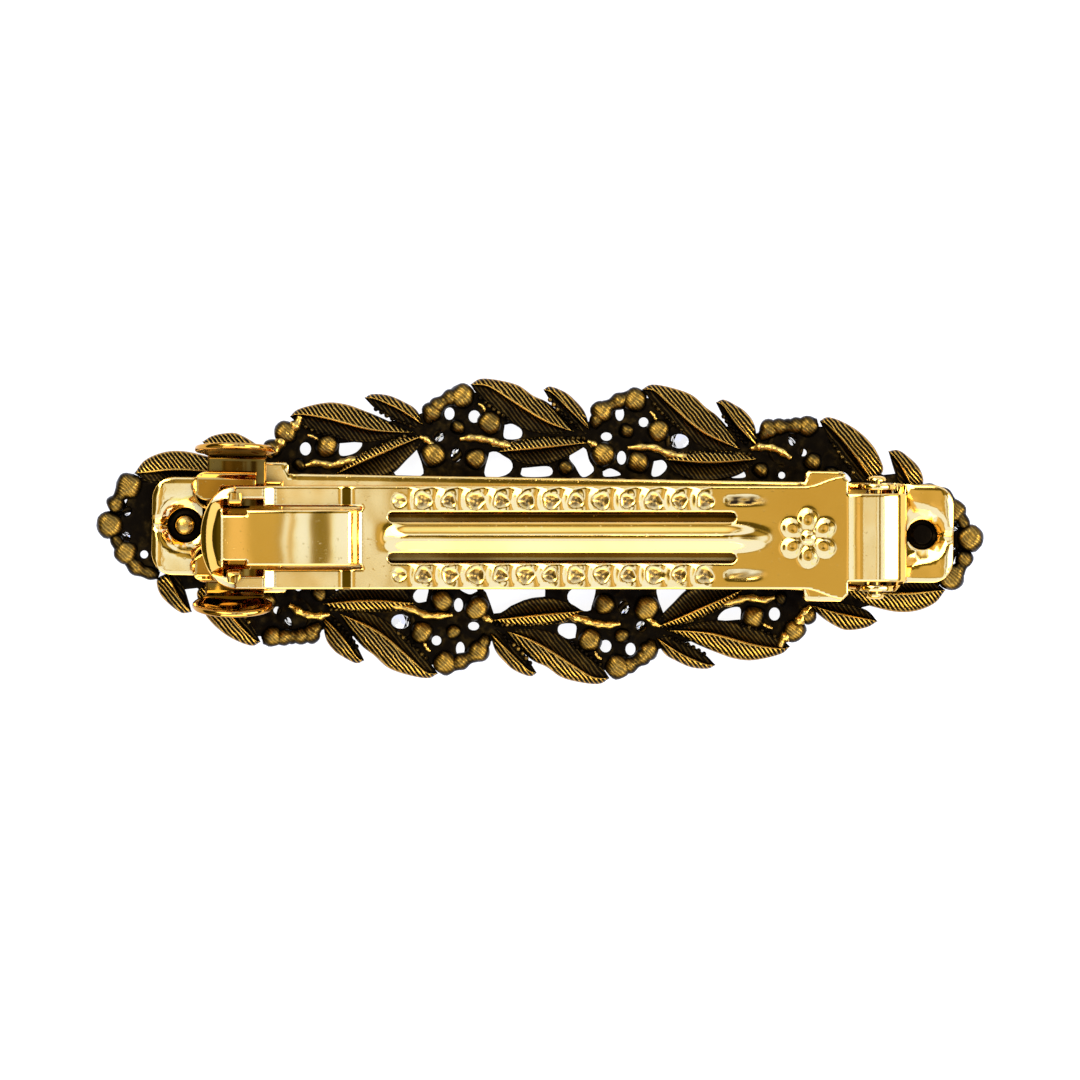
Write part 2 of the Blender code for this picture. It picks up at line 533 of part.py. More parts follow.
def build_arm(paint):
    tip = []
    for i in range(9):
        a = math.radians(90 - 90 * i / 8)
        tip.append((ARM_TIP_FULL - (ARM_TIP_FULL - ARM_TIP) * math.cos(a), ARM_HALF_WIDTH * math.sin(a) ** TIP_FULLNESS))
    upper = tip[::-1] + [(FLARE_START, ARM_HALF_WIDTH)]
    wide = FLARE_HALF_WIDTH - ARM_HALF_WIDTH
    for i in range(1, 6):
        upper.append((FLARE_START + (FLARE_END - FLARE_CORNER - FLARE_START) * i / 5,
                      ARM_HALF_WIDTH + wide * smooth(i / 5)))
    curl = 90.0 + HEEL_CURL_DEG
    upper += [(FLARE_END, FLARE_HALF_WIDTH - FLARE_CORNER), (FLARE_END, HEEL_HALF_WIDTH),
              (PIN_X + curl, HEEL_HALF_WIDTH)]
    outline = upper + [(x, -y) for x, y in upper[::-1] if y > 1e-6]
    outline = [p for i, p in enumerate(outline) if p != outline[i - 1]]
    holes = []
    for side in (-1, 1):
        middle = (SLIT_INNER + SLIT_OUTER) / 2
        radius = (SLIT_OUTER - SLIT_INNER) / 2
        ends = [(SLIT[1] - radius + radius * math.cos(a), middle + radius * math.sin(a))
                for a in (math.radians(-90 + 30 * i) for i in range(7))]
        ends += [(SLIT[0] + radius + radius * math.cos(a), middle + radius * math.sin(a))
                 for a in (math.radians(90 + 30 * i) for i in range(7))]
        holes.append([(x, side * y) for x, y in ends])
        slot = [(BRIDGE[1], BRIDGE_HALF_WIDTH), (BRIDGE[1], BRIDGE_HALF_WIDTH + BRIDGE_SLIT),
                (WINDOW[1], BRIDGE_HALF_WIDTH + BRIDGE_SLIT), (WINDOW[1], WINDOW_OUTER),
                (HOOK_BAY[0], WINDOW_OUTER), (HOOK_BAY[0], HOOK_BAY_INNER), (HOOK_BAY[1], HOOK_BAY_INNER),
                (HOOK_BAY[1], BRIDGE_HALF_WIDTH)]
        holes.append([(x, side * y) for x, y in slot])
    lines = stations(ARM_TIP_FULL, FLARE_END, FLARE_HALF_WIDTH + 1)
    for x in (BRIDGE[0], BRIDGE[0] - 1.0, BRIDGE[1] - BRIDGE_RAMP, BRIDGE[1] - BRIDGE_RAMP / 2):
        lines.append([(x, -ARM_HALF_WIDTH - 1), (x, ARM_HALF_WIDTH + 1)])
    for y in (-RIB_HALF_WIDTH, -RIB_HALF_WIDTH + 0.25, RIB_HALF_WIDTH - 0.25, RIB_HALF_WIDTH):
        lines.append([(RIB[0], y), (RIB[1], y)])
    lines += [[(x, -RIB_HALF_WIDTH), (x, RIB_HALF_WIDTH)] for x in (RIB[0], RIB[0] + 0.5, RIB[1] - 0.5, RIB[1])]
    lines += stations(PIN_X, PIN_X + curl, HEEL_HALF_WIDTH + 1, 10.0)

    def place(spot, face):
        x, y = spot
        if x <= PIN_X:
            z = ARM_BOTTOM + SHEET * face + bow(x) + bridge_lift(x, y)
            if RIB[0] + 0.4 < x < RIB[1] - 0.4 and abs(y) < RIB_HALF_WIDTH - 0.2:
                z += RIB_LIFT
            if x > FLARE_END - FLARE_BLEND:
                z += (bow(PIN_X) - bow(x)) * smooth((x - FLARE_END + FLARE_BLEND) / FLARE_BLEND)
            return (*skewed(x, y), z)
        dx, dz, angle = heel_path(x - PIN_X)
        off = SHEET * (face - 0.5)
        px, py = skewed(PIN_X + dx + off * math.cos(angle), y)
        return px, py, PIN_Z + bow(PIN_X) + dz + off * math.sin(angle)

    arm = add("clasp_arm", *slab(*plan([outline], holes, lines), place), paint)
    pin_z = PIN_Z + bow(PIN_X)
    outer = [(heel_path(10.0 * i)[0], heel_path(10.0 * i)[1]) for i in range(int(curl / 10) + 1)]
    profile = [(PIN_X + dx, pin_z + dz) for dx, dz in outer]
    profile += [(PIN_X + CHEEK_TOE, pin_z - CHEEK_REACH), (PIN_X - CHEEK_CORNER, pin_z - CHEEK_CORNER),
                (PIN_X - CHEEK_REACH, pin_z), (FLARE_END + CHEEK_SETBACK, pin_z + CHEEK_SHOULDER),
                (FLARE_END + CHEEK_SETBACK, outer[0][1] + pin_z)]
    eye = circle(PIN_X, pin_z, PIN_HOLE_RADIUS, 20)
    cheeks = []
    for side in (-1, 1):
        def stand(spot, face, side=side):
            y = side * (HEEL_HALF_WIDTH - CHEEK_INSET - CHEEK_THICKNESS * face)
            return (*skewed(spot[0], y), spot[1])
        cheeks.append(add("cheek", *slab(*plan([profile], [eye]), stand), paint))
    join(arm, cheeks)
    pivot(arm, (PIN_X, 0.0, pin_z))
    return arm


def build_tension(paint):
    outline = box(TENSION[0], TENSION[1], -TENSION_HALF_WIDTH, TENSION_HALF_WIDTH)
    middle = (TENSION[0] + TENSION[1]) / 2
    reach = (TENSION[1] - TENSION[0]) / 2

    def place(spot, face):
        x, y = spot
        dip = TENSION_DIP * (1 - ((x - middle) / reach) ** 2)
        return (*skewed(x, y), TENSION_TOP - TENSION_THICKNESS * (1 - face) - dip + bow(x))

    lines = stations(TENSION[0], TENSION[1], TENSION_HALF_WIDTH + 1)
    return add("tension_bar", *slab(*plan([outline], (), lines), place), paint)


def build_plate(paint):
    prong = [(PRONG_TIP + PRONG_HALF_WIDTH * (1 - math.cos(a)), PRONG_CENTRE + PRONG_HALF_WIDTH * math.sin(a))
             for a in (math.radians(-90 + 15 * i) for i in range(13))]
    upper = prong + [(PLATE[1], PLATE_HALF_WIDTH)]
    inner = [(PLATE[0], PRONG_CENTRE - PRONG_HALF_WIDTH)]
    outline = inner + upper + [(x, -y) for x, y in upper[::-1]] + [(x, -y) for x, y in inner]

    def place(spot, face):
        return spot[0], spot[1], PLATE_BOTTOM + PLATE_THICKNESS * face + bow(WING_X)

    return add("latch_plate", *slab(*plan([outline]), place), paint)


def build_wing(name, side, paint):
    lift = bow(WING_X)
    strip_y = abs(skewed(STEM_X, side * WINDOW_OUTER)[1])
    stem_out = strip_y - STEM_CLEARANCE
    stem_in = stem_out - WING_THICKNESS
    foot = (stem_in, WING_FLOOR + WING_THICKNESS / 2 + lift)
    lean = math.radians(UPPER_LEAN_DEG if side > 0 else LOWER_LEAN_DEG)
    disc_z = DISC_Z + lift

    def extrude(profile, half, centre):
        def stand(spot, face):
            return centre + half * (1 if face else -1), side * spot[0], spot[1]
        return add("piece", *slab(*plan([profile]), stand), paint)

    floor = WING_FLOOR + lift
    top = LIP_BOTTOM + LIP_THICKNESS + lift
    lip = strip_y + LIP_OVERHANG
    hook = [(stem_in, floor + 0.1), (stem_out, floor + 0.1), (stem_out, top - LIP_THICKNESS),
            (lip, top - LIP_THICKNESS), (lip + 0.15, top - LIP_THICKNESS / 2), (lip, top), (stem_in, top)]
    join_z = floor + WING_THICKNESS + 0.9
    disc_y = DISC_Y + (join_z - disc_z) * math.tan(lean)
    neck = [(stem_in + 0.05, floor), (disc_y - 0.4, floor), (disc_y + 0.25, floor + 0.5), (disc_y + 0.2, join_z),
            (disc_y - 0.25, join_z), (disc_y - 0.5, floor + WING_THICKNESS + 0.1),
            (stem_in + 0.05, floor + WING_THICKNESS)]
    wing = extrude(neck, NECK_HALF_WIDTH, WING_X)
    wing.name = name
    wing.data.name = name
    half = DISC_THICKNESS / 2
    turned = Matrix.Rotation(-side * lean, 3, "X")
    disc_verts = []
    sides = 32
    for share, y in ((1.0, -half), (1.0, half)):
        for px, pz in circle(0.0, 0.0, DISC_RADIUS * share, sides):
            spot = turned @ Vector((px, y, pz))
            disc_verts.append((WING_X + spot.x, side * DISC_Y + spot.y, disc_z + spot.z))
    faces = [tuple(range(sides)), tuple(range(sides, 2 * sides))]
    faces += [(i, (i + 1) % sides, (i + 1) % sides + sides, i + sides) for i in range(sides)]
    disc = add("disc", disc_verts, faces, paint)
    join(wing, [disc, extrude(hook, STEM_HALF_WIDTH, STEM_X)])
    pivot(wing, (WING_X, side * foot[0], foot[1]))
    return wing


for old in list(bpy.data.objects):
    bpy.data.objects.remove(old)
antique = material("antique_gold", (0.55, 0.40, 0.16), 1.0, 0.38)
plated = material("gold_plate", (0.83, 0.60, 0.22), 1.0, 0.16)
spring = material("spring_gold", (0.70, 0.48, 0.17), 1.0, 0.25)
glass = material("crystal_glass", (0.92, 0.94, 0.96), 0.0, 0.05)
build_casting(antique)
build_stones(glass)
build_base(plated)
build_pin(plated)
build_arm(plated)
build_tension(spring)
build_plate(plated)
build_wing("latch_wing_upper", 1, plated)
build_wing("latch_wing_lower", -1, plated)
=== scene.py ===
import math
from types import SimpleNamespace

import bmesh
import bpy
import numpy as np
from mathutils import Matrix, Vector
from mathutils.geometry import delaunay_2d_cdt


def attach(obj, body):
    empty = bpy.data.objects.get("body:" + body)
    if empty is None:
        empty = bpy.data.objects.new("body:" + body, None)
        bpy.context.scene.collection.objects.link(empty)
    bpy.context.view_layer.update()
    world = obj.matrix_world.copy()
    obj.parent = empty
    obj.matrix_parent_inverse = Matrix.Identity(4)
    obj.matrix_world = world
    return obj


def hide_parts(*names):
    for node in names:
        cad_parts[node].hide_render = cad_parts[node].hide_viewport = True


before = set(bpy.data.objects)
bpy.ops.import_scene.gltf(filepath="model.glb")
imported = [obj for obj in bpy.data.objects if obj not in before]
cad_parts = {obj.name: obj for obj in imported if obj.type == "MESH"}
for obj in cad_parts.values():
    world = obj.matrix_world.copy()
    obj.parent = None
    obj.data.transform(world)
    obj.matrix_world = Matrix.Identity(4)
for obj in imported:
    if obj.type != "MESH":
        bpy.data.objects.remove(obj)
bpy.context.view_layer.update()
mm = 0.001  # all sizes below are in millimetres
bowRadius = 450.0

for leftover in [o for o in bpy.data.objects if o.type in {"LIGHT", "CAMERA"}]:
    bpy.data.objects.remove(leftover)
scene = bpy.context.scene
scene.view_settings.view_transform = "Standard"


def bow(x):
    return x * x / (2.0 * bowRadius)


def ease(t):
    t = min(1.0, max(0.0, t))
    return t * t * (3 - 2 * t)


def halfTurn(points):
    return [(-x, -y) for x, y in points]


def mirrored(upper):
    return upper + [(x, -y) for x, y in upper[::-1]]


def arcAngles(first, last, count):
    return np.radians(np.linspace(first, last, count))


def ring(x, y, rx, ry=None, sides=20):
    ry = rx if ry is None else ry
    angles = [2 * math.pi * i / sides for i in range(sides)]
    return [(x + rx * math.cos(a), y + ry * math.sin(a)) for a in angles]


def shift(verts, x, y, z, size=1.0):
    return [(vx * size + x, vy * size + y, vz * size + z) for vx, vy, vz in verts]


def smoothPath(points, count):
    # evenly spaced points on a Catmull-Rom curve through the given ones
    p = [np.array(q, float) for q in points]
    p = [2 * p[0] - p[1]] + p + [2 * p[-1] - p[-2]]
    fine = []
    for a, b, c, d in zip(p, p[1:], p[2:], p[3:]):
        for t in np.linspace(0, 1, 14, endpoint=False):
            fine.append(0.5 * (2 * b + (c - a) * t + (2 * a - 5 * b + 4 * c - d) * t ** 2
                               + (3 * b - a - 3 * c + d) * t ** 3))
    fine = np.array(fine + [p[-2]])
    steps = np.concatenate([[0], np.cumsum(np.linalg.norm(np.diff(fine, axis=0), axis=1))])
    at = np.linspace(0, steps[-1], count)
    return np.stack([np.interp(at, steps, fine[:, k]) for k in range(fine.shape[1])], axis=1)


def meshPiece(name, verts, faces, paint, sharp=None, marks=None):
    mesh = bpy.data.meshes.new(name)
    spots = [tuple(float(c) * mm for c in v) for v in verts]
    mesh.from_pydata(spots, [], [tuple(int(i) for i in f) for f in faces])
    for label, values in (marks or {}).items():
        mesh.attributes.new(label, "FLOAT", "POINT").data.foreach_set("value", values)
    work = bmesh.new()
    work.from_mesh(mesh)
    bmesh.ops.remove_doubles(work, verts=work.verts, dist=1e-7)
    bmesh.ops.recalc_face_normals(work, faces=work.faces)
    work.to_mesh(mesh)
    work.free()
    mesh.materials.append(paint)
    mesh.polygons.foreach_set("use_smooth", [True] * len(mesh.polygons))
    if sharp:
        mesh.set_sharp_from_angle(angle=math.radians(sharp))
    made = bpy.data.objects.new(name, mesh)
    scene.collection.objects.link(made)
    return made


def joinPieces(name, pieces):
    with bpy.context.temp_override(active_object=pieces[0], selected_editable_objects=pieces,
                                   selected_objects=pieces, object=pieces[0]):
        bpy.ops.object.join()
    pieces[0].name = name
    pieces[0].data.name = name
    return pieces[0]


class Wire:
    # a node's output; sums, products and the rest each add one node after it
    def __init__(self, socket):
        self.socket = socket

    def step(self, operation, *others, clamp=False):
        made = addNode(self.socket.id_data, "ShaderNodeMath", dict(enumerate((self, *others))),
                       operation=operation, use_clamp=clamp)
        return Wire(made.outputs[0])

    def __add__(self, other):
        return self.step("ADD", other)

    def __sub__(self, other):
        return self.step("SUBTRACT", other)

    def __mul__(self, other):
        return self.step("MULTIPLY", other)

    def band(self, low, high):
        # 0 at low, 1 at high, eased between
        made = addNode(self.socket.id_data, "ShaderNodeMapRange", {0: self, 1: low, 2: high},
                       interpolation_type="SMOOTHSTEP")
        return Wire(made.outputs[0])

    def mix(self, a, b):
        made = addNode(self.socket.id_data, "ShaderNodeMix", {0: self, 6: a, 7: b}, data_type="RGBA")
        return Wire(made.outputs[2])


def fill(slots, values):
    # links outputs and sets plain values
    for label, value in values.items():
        slot = slots[label]
        value = value.socket if isinstance(value, Wire) else value
        if isinstance(value, bpy.types.NodeSocket):
            slot.id_data.links.new(value, slot)
        elif slot.type == "RGBA":
            slot.default_value = (*value, 1.0)
        else:
            slot.default_value = value


def addNode(tree, kind, inputs=None, **settings):
    made = tree.nodes.new(kind)
    for key, value in settings.items():
        setattr(made, key, value)
    fill(made.inputs, inputs or {})
    return made


def objectSpot(tree):
    found = tree.nodes.get("objectSpot") or addNode(tree, "ShaderNodeTexCoord", name="objectSpot")
    return found.outputs["Object"]


def spotParts(tree):
    # x, y and z in millimetres
    split = addNode(tree, "ShaderNodeSeparateXYZ", {0: objectSpot(tree)})
    return [Wire(part) * (1 / mm) for part in split.outputs]


def noise(tree, scale, detail, roughness=0.5):
    inputs = {"Vector": objectSpot(tree), "Scale": scale, "Detail": detail, "Roughness": roughness}
    return Wire(addNode(tree, "ShaderNodeTexNoise", inputs).outputs[0])


def openness(tree, reach, samples):
    # 1 in the open, less in corners; reach in millimetres
    made = addNode(tree, "ShaderNodeAmbientOcclusion", {"Distance": reach * mm}, samples=samples)
    return Wire(made.outputs["AO"])


def attribute(tree, name):
    return Wire(addNode(tree, "ShaderNodeAttribute", attribute_name=name).outputs["Fac"])


def newMaterial(name):
    made = bpy.data.materials.new(name)
    made.use_nodes = True
    tree = made.node_tree
    tree.nodes.clear()
    shader = tree.nodes.new("ShaderNodeBsdfPrincipled")
    addNode(tree, "ShaderNodeOutputMaterial", {0: shader.outputs[0]}, name="out")
    return made, tree, shader


def shaderGroup(label, inputs, outputs):
    # inputs without a default and the output named Color carry colours, the rest carry values
    tree = bpy.data.node_groups.new(label, "ShaderNodeTree")
    for name, value in inputs.items():
        kind = "NodeSocketColor" if value is None else "NodeSocketFloat"
        made = tree.interface.new_socket(name, in_out="INPUT", socket_type=kind)
        if value is not None:
            made.default_value = value
    for name in outputs:
        kind = "NodeSocketColor" if name == "Color" else "NodeSocketFloat"
        tree.interface.new_socket(name, in_out="OUTPUT", socket_type=kind)
    got = {s.name: Wire(s) for s in tree.nodes.new("NodeGroupInput").outputs}
    return tree, got, tree.nodes.new("NodeGroupOutput").inputs


def useGroup(tree, group, inputs):
    made = addNode(tree, "ShaderNodeGroup", node_tree=group)
    fill(made.inputs, inputs)
    return {s.name: Wire(s) for s in made.outputs}


def setMetal(tree, shader, colour, roughness, height, strength, depth):
    rise = addNode(tree, "ShaderNodeBump", {"Height": height, "Strength": strength, "Distance": depth * mm})
    fill(shader.inputs, {"Metallic": 1.0, "Base Color": colour, "Roughness": roughness,
                         "Normal": rise.outputs[0]})


finish = {
    "castGold": (0.52, 0.275, 0.034), "castRim": (0.62, 0.35, 0.055), "castDark": (0.004, 0.0025, 0.001),
    # the half-shade and shade plating colours are the polished plating painted darker as shade
    "plateGold": (0.88, 0.53, 0.115), "plateDeep": (0.8, 0.44, 0.065), "halfShadeGold": (0.6, 0.3, 0.04),
    "halfShadeDeep": (0.3, 0.13, 0.012), "shadeGold": (0.26, 0.12, 0.01), "shadeDeep": (0.1, 0.045, 0.004),
    # the next line starts with the painted shade colours for the pits and for the corners
    "pitShade": (0.012, 0.007, 0.003), "recessShade": (0.03, 0.012, 0.001), "hatchPitch": 0.35, "hatchAngle": 50.0,
    "berryPitch": 0.2975, "berryAngle": 42.0, "patinaReach": 0.9, "recessReach": 2.6, "castRelief": 0.08,
    "plateRelief": 0.07,
}


def agedGoldGroup():
    # Bright says where the metal shows through the dark patina
    tree, got, put = shaderGroup("agedGold", {"Bright": 0.5, "Gold": None, "Dark": None, "Speckle": 0.35,
                                              "Grain": 1400.0}, ("Color", "Roughness", "Height"))
    grain = noise(tree, got["Grain"], 4.0, 0.65)
    blotch = noise(tree, 420.0, 3.0)
    worn = (grain - 0.5) * got["Speckle"] + (blotch - 0.5) * got["Speckle"]
    bright = got["Bright"].step("ADD", worn, clamp=True)
    bright = bright * (openness(tree, finish["patinaReach"], 6).band(0.30, 0.80) * 0.92 + 0.08)
    bright = bright.step("POWER", 1.7)
    fill(put, {"Color": bright.mix(got["Dark"], got["Gold"]), "Roughness": bright * -0.18 + 0.42,
               "Height": grain * 0.45 + bright})
    return tree


def useAgedGold(tree, shader, bright, gold, speckle, bump=0.5):
    aged = useGroup(tree, agedGroup, {"Bright": bright, "Gold": finish[gold], "Dark": finish["castDark"],
                                      "Speckle": speckle})
    setMetal(tree, shader, aged["Color"], aged["Roughness"], aged["Height"], bump, finish["castRelief"])


def castMarksGroup():
    # slanted engraved lines (1 on the crest, 0 in the groove), height above the bow, and rough patches
    tree, got, put = shaderGroup("castMarks", {"Pitch": 0.35, "Angle": 50.0, "Wander": 0.5, "Scale": 700.0},
                                 ("Lines", "Height", "Rough"))
    x, y, z = spotParts(tree)
    turn = got["Angle"].step("RADIANS")
    wander = noise(tree, got["Scale"], 3.0) * got["Wander"]
    spot = (wander + y) * turn.step("COSINE") + x * turn.step("SINE")
    wave = (spot.step("DIVIDE", got["Pitch"]) * (2 * math.pi)).step("SINE")
    fill(put, {"Lines": wave.band(-0.15, 0.9), "Height": z - x * x * (0.5 / bowRadius),
               "Rough": noise(tree, 700.0, 5.0)})
    return tree


def leafMaterial():
    made, tree, shader = newMaterial("leafGold")
    lines = useGroup(tree, marksGroup, {"Pitch": finish["hatchPitch"], "Angle": finish["hatchAngle"],
                                        "Wander": 0.5, "Scale": 700.0})["Lines"]
    share, back = attribute(tree, "leafAcross"), attribute(tree, "leafBack")
    rim = share.band(0.88, 0.95)
    dip = (share - 0.77).step("ABSOLUTE").band(0.05, 0.01)
    rib = share.step("ABSOLUTE").band(0.10, 0.04)
    inner = share.band(-0.02, -0.10)
    bright = (lines * (inner * -0.74 + 0.97)).step("MAXIMUM", rib * 0.95)
    bright = bright * (dip * -0.35 + 1.0)
    bright = bright.step("MAXIMUM", rim * (lines * 0.3 + 0.7))
    front = lines * 0.35 + 0.60
    useAgedGold(tree, shader, bright * back + front * (back * -1.0 + 1.0), "castGold", 0.3, 0.7)
    return made


def castMaterial(name, pattern, level, speckle, gold="castGold"):
    made, tree, shader = newMaterial(name)
    marks = useGroup(tree, marksGroup, {"Pitch": finish["berryPitch"], "Angle": finish["berryAngle"],
                                        "Wander": 0.8, "Scale": 900.0})
    height, rough = marks["Height"], marks["Rough"]
    if pattern == "hatched":  # bright towards the back and the front, dark round the middle
        crown = height.band(2.15, 3.0).step("MAXIMUM", height.band(1.25, 0.75))
        bright = (marks["Lines"] * 0.30 + 0.50) * (crown + level)
    elif pattern == "front":
        bright = rough * 0.2 + height.band(1.3, 0.9)
    elif pattern == "worn":
        bright = rough * 0.3 + level
    else:
        bright = rough.band(0.45, 0.75) * level
    useAgedGold(tree, shader, bright, gold, speckle)
    return made


def plateGroup():
    # faint pits, smears, a change of tone and painted shade in the corners
    tree, got, put = shaderGroup("plating", {"Pits": 0.5, "Smear": 0.5},
                                 ("Tone", "Roughness", "Height", "RecessShade"))
    smear, pits, wide = noise(tree, 130.0, 3.0), noise(tree, 2600.0, 2.0), noise(tree, 260.0, 1.0)
    few = pits.band(0.66, 0.75) * got["Pits"]
    corner = openness(tree, finish["recessReach"], 8).band(0.88, 0.30)
    fill(put, {"Tone": smear.band(0.35, 0.7) * got["Smear"], "Roughness": few * 0.3 + (smear * 0.07 + 0.05),
               "Height": wide * 0.8 + few * -0.35, "RecessShade": corner})
    return tree


def plateMaterial(name, pits, smear, gold, deep):
    made, tree, shader = newMaterial(name)
    plating = useGroup(tree, platingGroup, {"Pits": pits, "Smear": smear})
    tone = plating["Tone"].mix(finish[gold], finish[deep])
    # painted shade: corners and slits darken towards a deep brown
    tone = (plating["RecessShade"] * 0.9).mix(tone, finish["recessShade"])
    # painted shade in the pits and dents: darker and rougher there
    pitShade = attribute(tree, "pitShade")
    roughness = pitShade * 0.42 + plating["Roughness"]
    tone = pitShade.mix(tone, finish["pitShade"])
    setMetal(tree, shader, tone, roughness, plating["Height"], 0.45, finish["plateRelief"])
    return made


def stoneMaterial():
    made, tree, shader = newMaterial("stoneGlass")
    haze = noise(tree, 900.0, 2.0)
    fill(shader.inputs, {"Transmission Weight": 1.0, "IOR": 1.56, "Roughness": haze * 0.08,
                         "Base Color": haze.mix((0.93, 0.94, 0.96), (0.86, 0.87, 0.91))})
    return made


agedGroup, marksGroup, platingGroup = agedGoldGroup(), castMarksGroup(), plateGroup()
leafPaint = leafMaterial()
berryPaint = castMaterial("berryGold", "hatched", 0.05, 0.45)
webPaint = castMaterial("webPatina", "patches", 0.12, 0.15)
grainPaint = castMaterial("granuleGrey", "patches", 0.6, 0.3, "castRim")
stemPaint = castMaterial("stemGold", "worn", 0.72, 0.5, "castRim")
beadPaint = castMaterial("pegGold", "worn", 0.72, 0.25, "castRim")
cupPaint = castMaterial("cupGold", "front", 0.0, 0.2)
platePaint = plateMaterial("polishedPlate", 0.18, 0.45, "plateGold", "plateDeep")
# a darker copy of the polished plating: painted half shade for the latch, the wings' hooks and pads and the
# tension strip under the arm
halfShadePaint = plateMaterial("halfShadedPlate", 0.3, 1.0, "halfShadeGold", "halfShadeDeep")
shadePaint = plateMaterial("shadedPlate", 0.3, 1.0, "shadeGold", "shadeDeep")
stonePaint = stoneMaterial()
print("materials ready")

# Leaves: one half of the spray; the other half is these turned half round
leafForm = {
    "rows": 64, "half": 11, "ribBack": 2.75, "outerBack": 2.35, "innerBack": 2.05, "ribFront": 0.75,
    "edgeFront": 1.35, "edgeRoll": 0.5, "groove": 0.12, "grooveAt": 0.79, "bead": 0.22, "beadAt": -0.9,
    "ridge": 0.035, "backFrom": 1.55, "frontFrom": 1.5,
    # tip, base, then the points between them on the outer edge, the inner edge and the rib
    "plan": (
        ((-40.6, 5.2), (-30.4, 5.2), ((-39.6, 6.5), (-37.9, 7.3), (-36.1, 7.5), (-34.2, 7.2), (-32.0, 6.5)),
         ((-39.0, 4.2), (-36.0, 4.0), (-32.5, 4.2)), ((-36.0, 5.6),)),
        ((-33.9, 8.45), (-27.0, 6.9), ((-32.8, 9.1), (-31.0, 9.4), (-29.9, 9.1), (-28.4, 8.2)),
         ((-32.7, 7.3), (-30.0, 6.6)), ((-30.0, 7.7),)),
        ((-25.2, 11.1), (-12.6, 9.7), ((-24.5, 11.8), (-23.0, 12.3), (-21.2, 12.6), (-19.5, 12.4),
         (-18.0, 11.9), (-16.2, 11.2), (-14.2, 10.3)),
         ((-24.3, 10.4), (-22.6, 9.6), (-20.3, 8.9), (-17.5, 8.6), (-14.5, 9.2)),
         ((-24.2, 11.35), (-21.5, 11.0), (-17.0, 9.9))),
        ((-17.8, 13.1), (-11.7, 10.4), ((-17.0, 13.5), (-15.4, 13.4), (-13.9, 12.8), (-12.6, 12.0)),
         ((-16.5, 11.9), (-14.0, 10.5), (-12.4, 10.1)), ((-16.6, 13.0), (-14.2, 12.0))),
        ((-20.6, 5.4), (-11.6, 9.5), ((-19.3, 6.8), (-17.0, 8.2), (-14.3, 9.3)),
         ((-18.6, 4.9), (-16.5, 4.9), (-14.8, 5.6), (-13.5, 6.9), (-12.3, 8.2)),
         ((-16.9, 7.2), (-14.0, 8.5))),
        ((-7.2, 14.6), (3.4, 10.0),
         ((-6.2, 15.2), (-4.4, 15.1), (-2.4, 14.6), (-0.9, 13.6), (0.6, 12.9), (2.3, 11.4)),
         ((-6.3, 13.4), (-4.6, 12.1), (-3.1, 10.9), (-1.4, 10.0), (1.0, 9.7)),
         ((-5.4, 14.5), (-3.2, 13.2), (-0.6, 11.6), (1.2, 10.7))),
        ((0.1, 14.2), (4.9, 10.2), ((0.8, 14.55), (2.3, 14.0), (3.3, 13.2), (4.3, 12.0)),
         ((1.6, 12.0), (3.4, 10.4), (4.4, 9.8)), ((1.0, 13.9), (2.6, 12.4))),
        ((-4.4, 7.9), (4.9, 9.0), ((-3.0, 9.0), (0.0, 9.6), (3.0, 9.6)),
         ((-3.2, 7.2), (-1.4, 6.6), (0.8, 6.7), (2.6, 7.5), (4.1, 8.4)), ((0.0, 8.4),)),
        ((10.0, 14.4), (20.0, 8.5),
         ((11.0, 14.9), (13.0, 14.6), (15.0, 13.9), (16.4, 12.7), (17.6, 11.8), (19.0, 10.2)),
         ((11.4, 12.6), (13.0, 10.9), (14.6, 9.7), (16.0, 8.7), (18.0, 8.2)),
         ((11.2, 14.3), (12.6, 13.1), (16.0, 10.3))),
        ((17.4, 13.2), (21.7, 8.8), ((18.2, 13.5), (19.5, 12.9), (20.5, 12.2), (21.3, 11.0)),
         ((18.7, 10.8), (20.2, 9.0), (21.2, 8.4)), ((18.1, 12.9), (19.6, 10.9))),
        ((12.4, 7.4), (21.8, 7.6), ((13.6, 8.2), (17.0, 8.5), (20.0, 8.4)),
         ((13.8, 5.8), (16.5, 5.2), (19.4, 5.8), (21.0, 6.8)), ((17.0, 7.2),)),
        ((27.8, 11.5), (33.2, 5.5),
         ((28.6, 11.9), (30.0, 11.5), (31.6, 10.6), (33.0, 9.3), (33.8, 8.0), (34.2, 6.6)),
         ((28.6, 9.9), (29.6, 8.4), (30.6, 6.9), (31.6, 5.6)), ((28.6, 11.1), (30.6, 9.0))),
        ((34.7, 8.6), (37.2, 4.7), ((35.7, 8.7), (36.9, 7.9), (37.9, 6.8), (38.2, 5.4)),
         ((35.4, 6.4), (36.0, 5.0)), ((35.2, 8.1), (36.0, 7.0))),
    ),
}
leaf = SimpleNamespace(**leafForm)


def leafBack(s, swell):
    # height of the back at s, which runs from -1 on the inner edge over 0 on the rib to 1 on the outer edge
    if s > 0.8:
        z = leaf.outerBack - 0.06 - leaf.edgeRoll * ((s - 0.8) / 0.2) ** 2
    elif s > 0:
        z = leaf.ribBack + (leaf.outerBack - leaf.ribBack) * (s / 0.78) ** 1.6
        z -= leaf.groove * math.exp(-((s - leaf.grooveAt) / 0.05) ** 2)
    else:
        z = leaf.innerBack + (leaf.ribBack - leaf.innerBack) * math.exp(s / 0.16)
        z += leaf.bead * math.exp(-((s - leaf.beadAt) / 0.10) ** 2)
        if s < -0.93:
            z -= leaf.edgeRoll * ((-s - 0.93) / 0.07) ** 2
    z = leaf.backFrom + (z - leaf.backFrom) * (0.45 + 0.55 * swell)
    return z + leaf.ridge * math.cos(math.pi * s / 0.1) * math.exp(-abs(s) / 0.1)


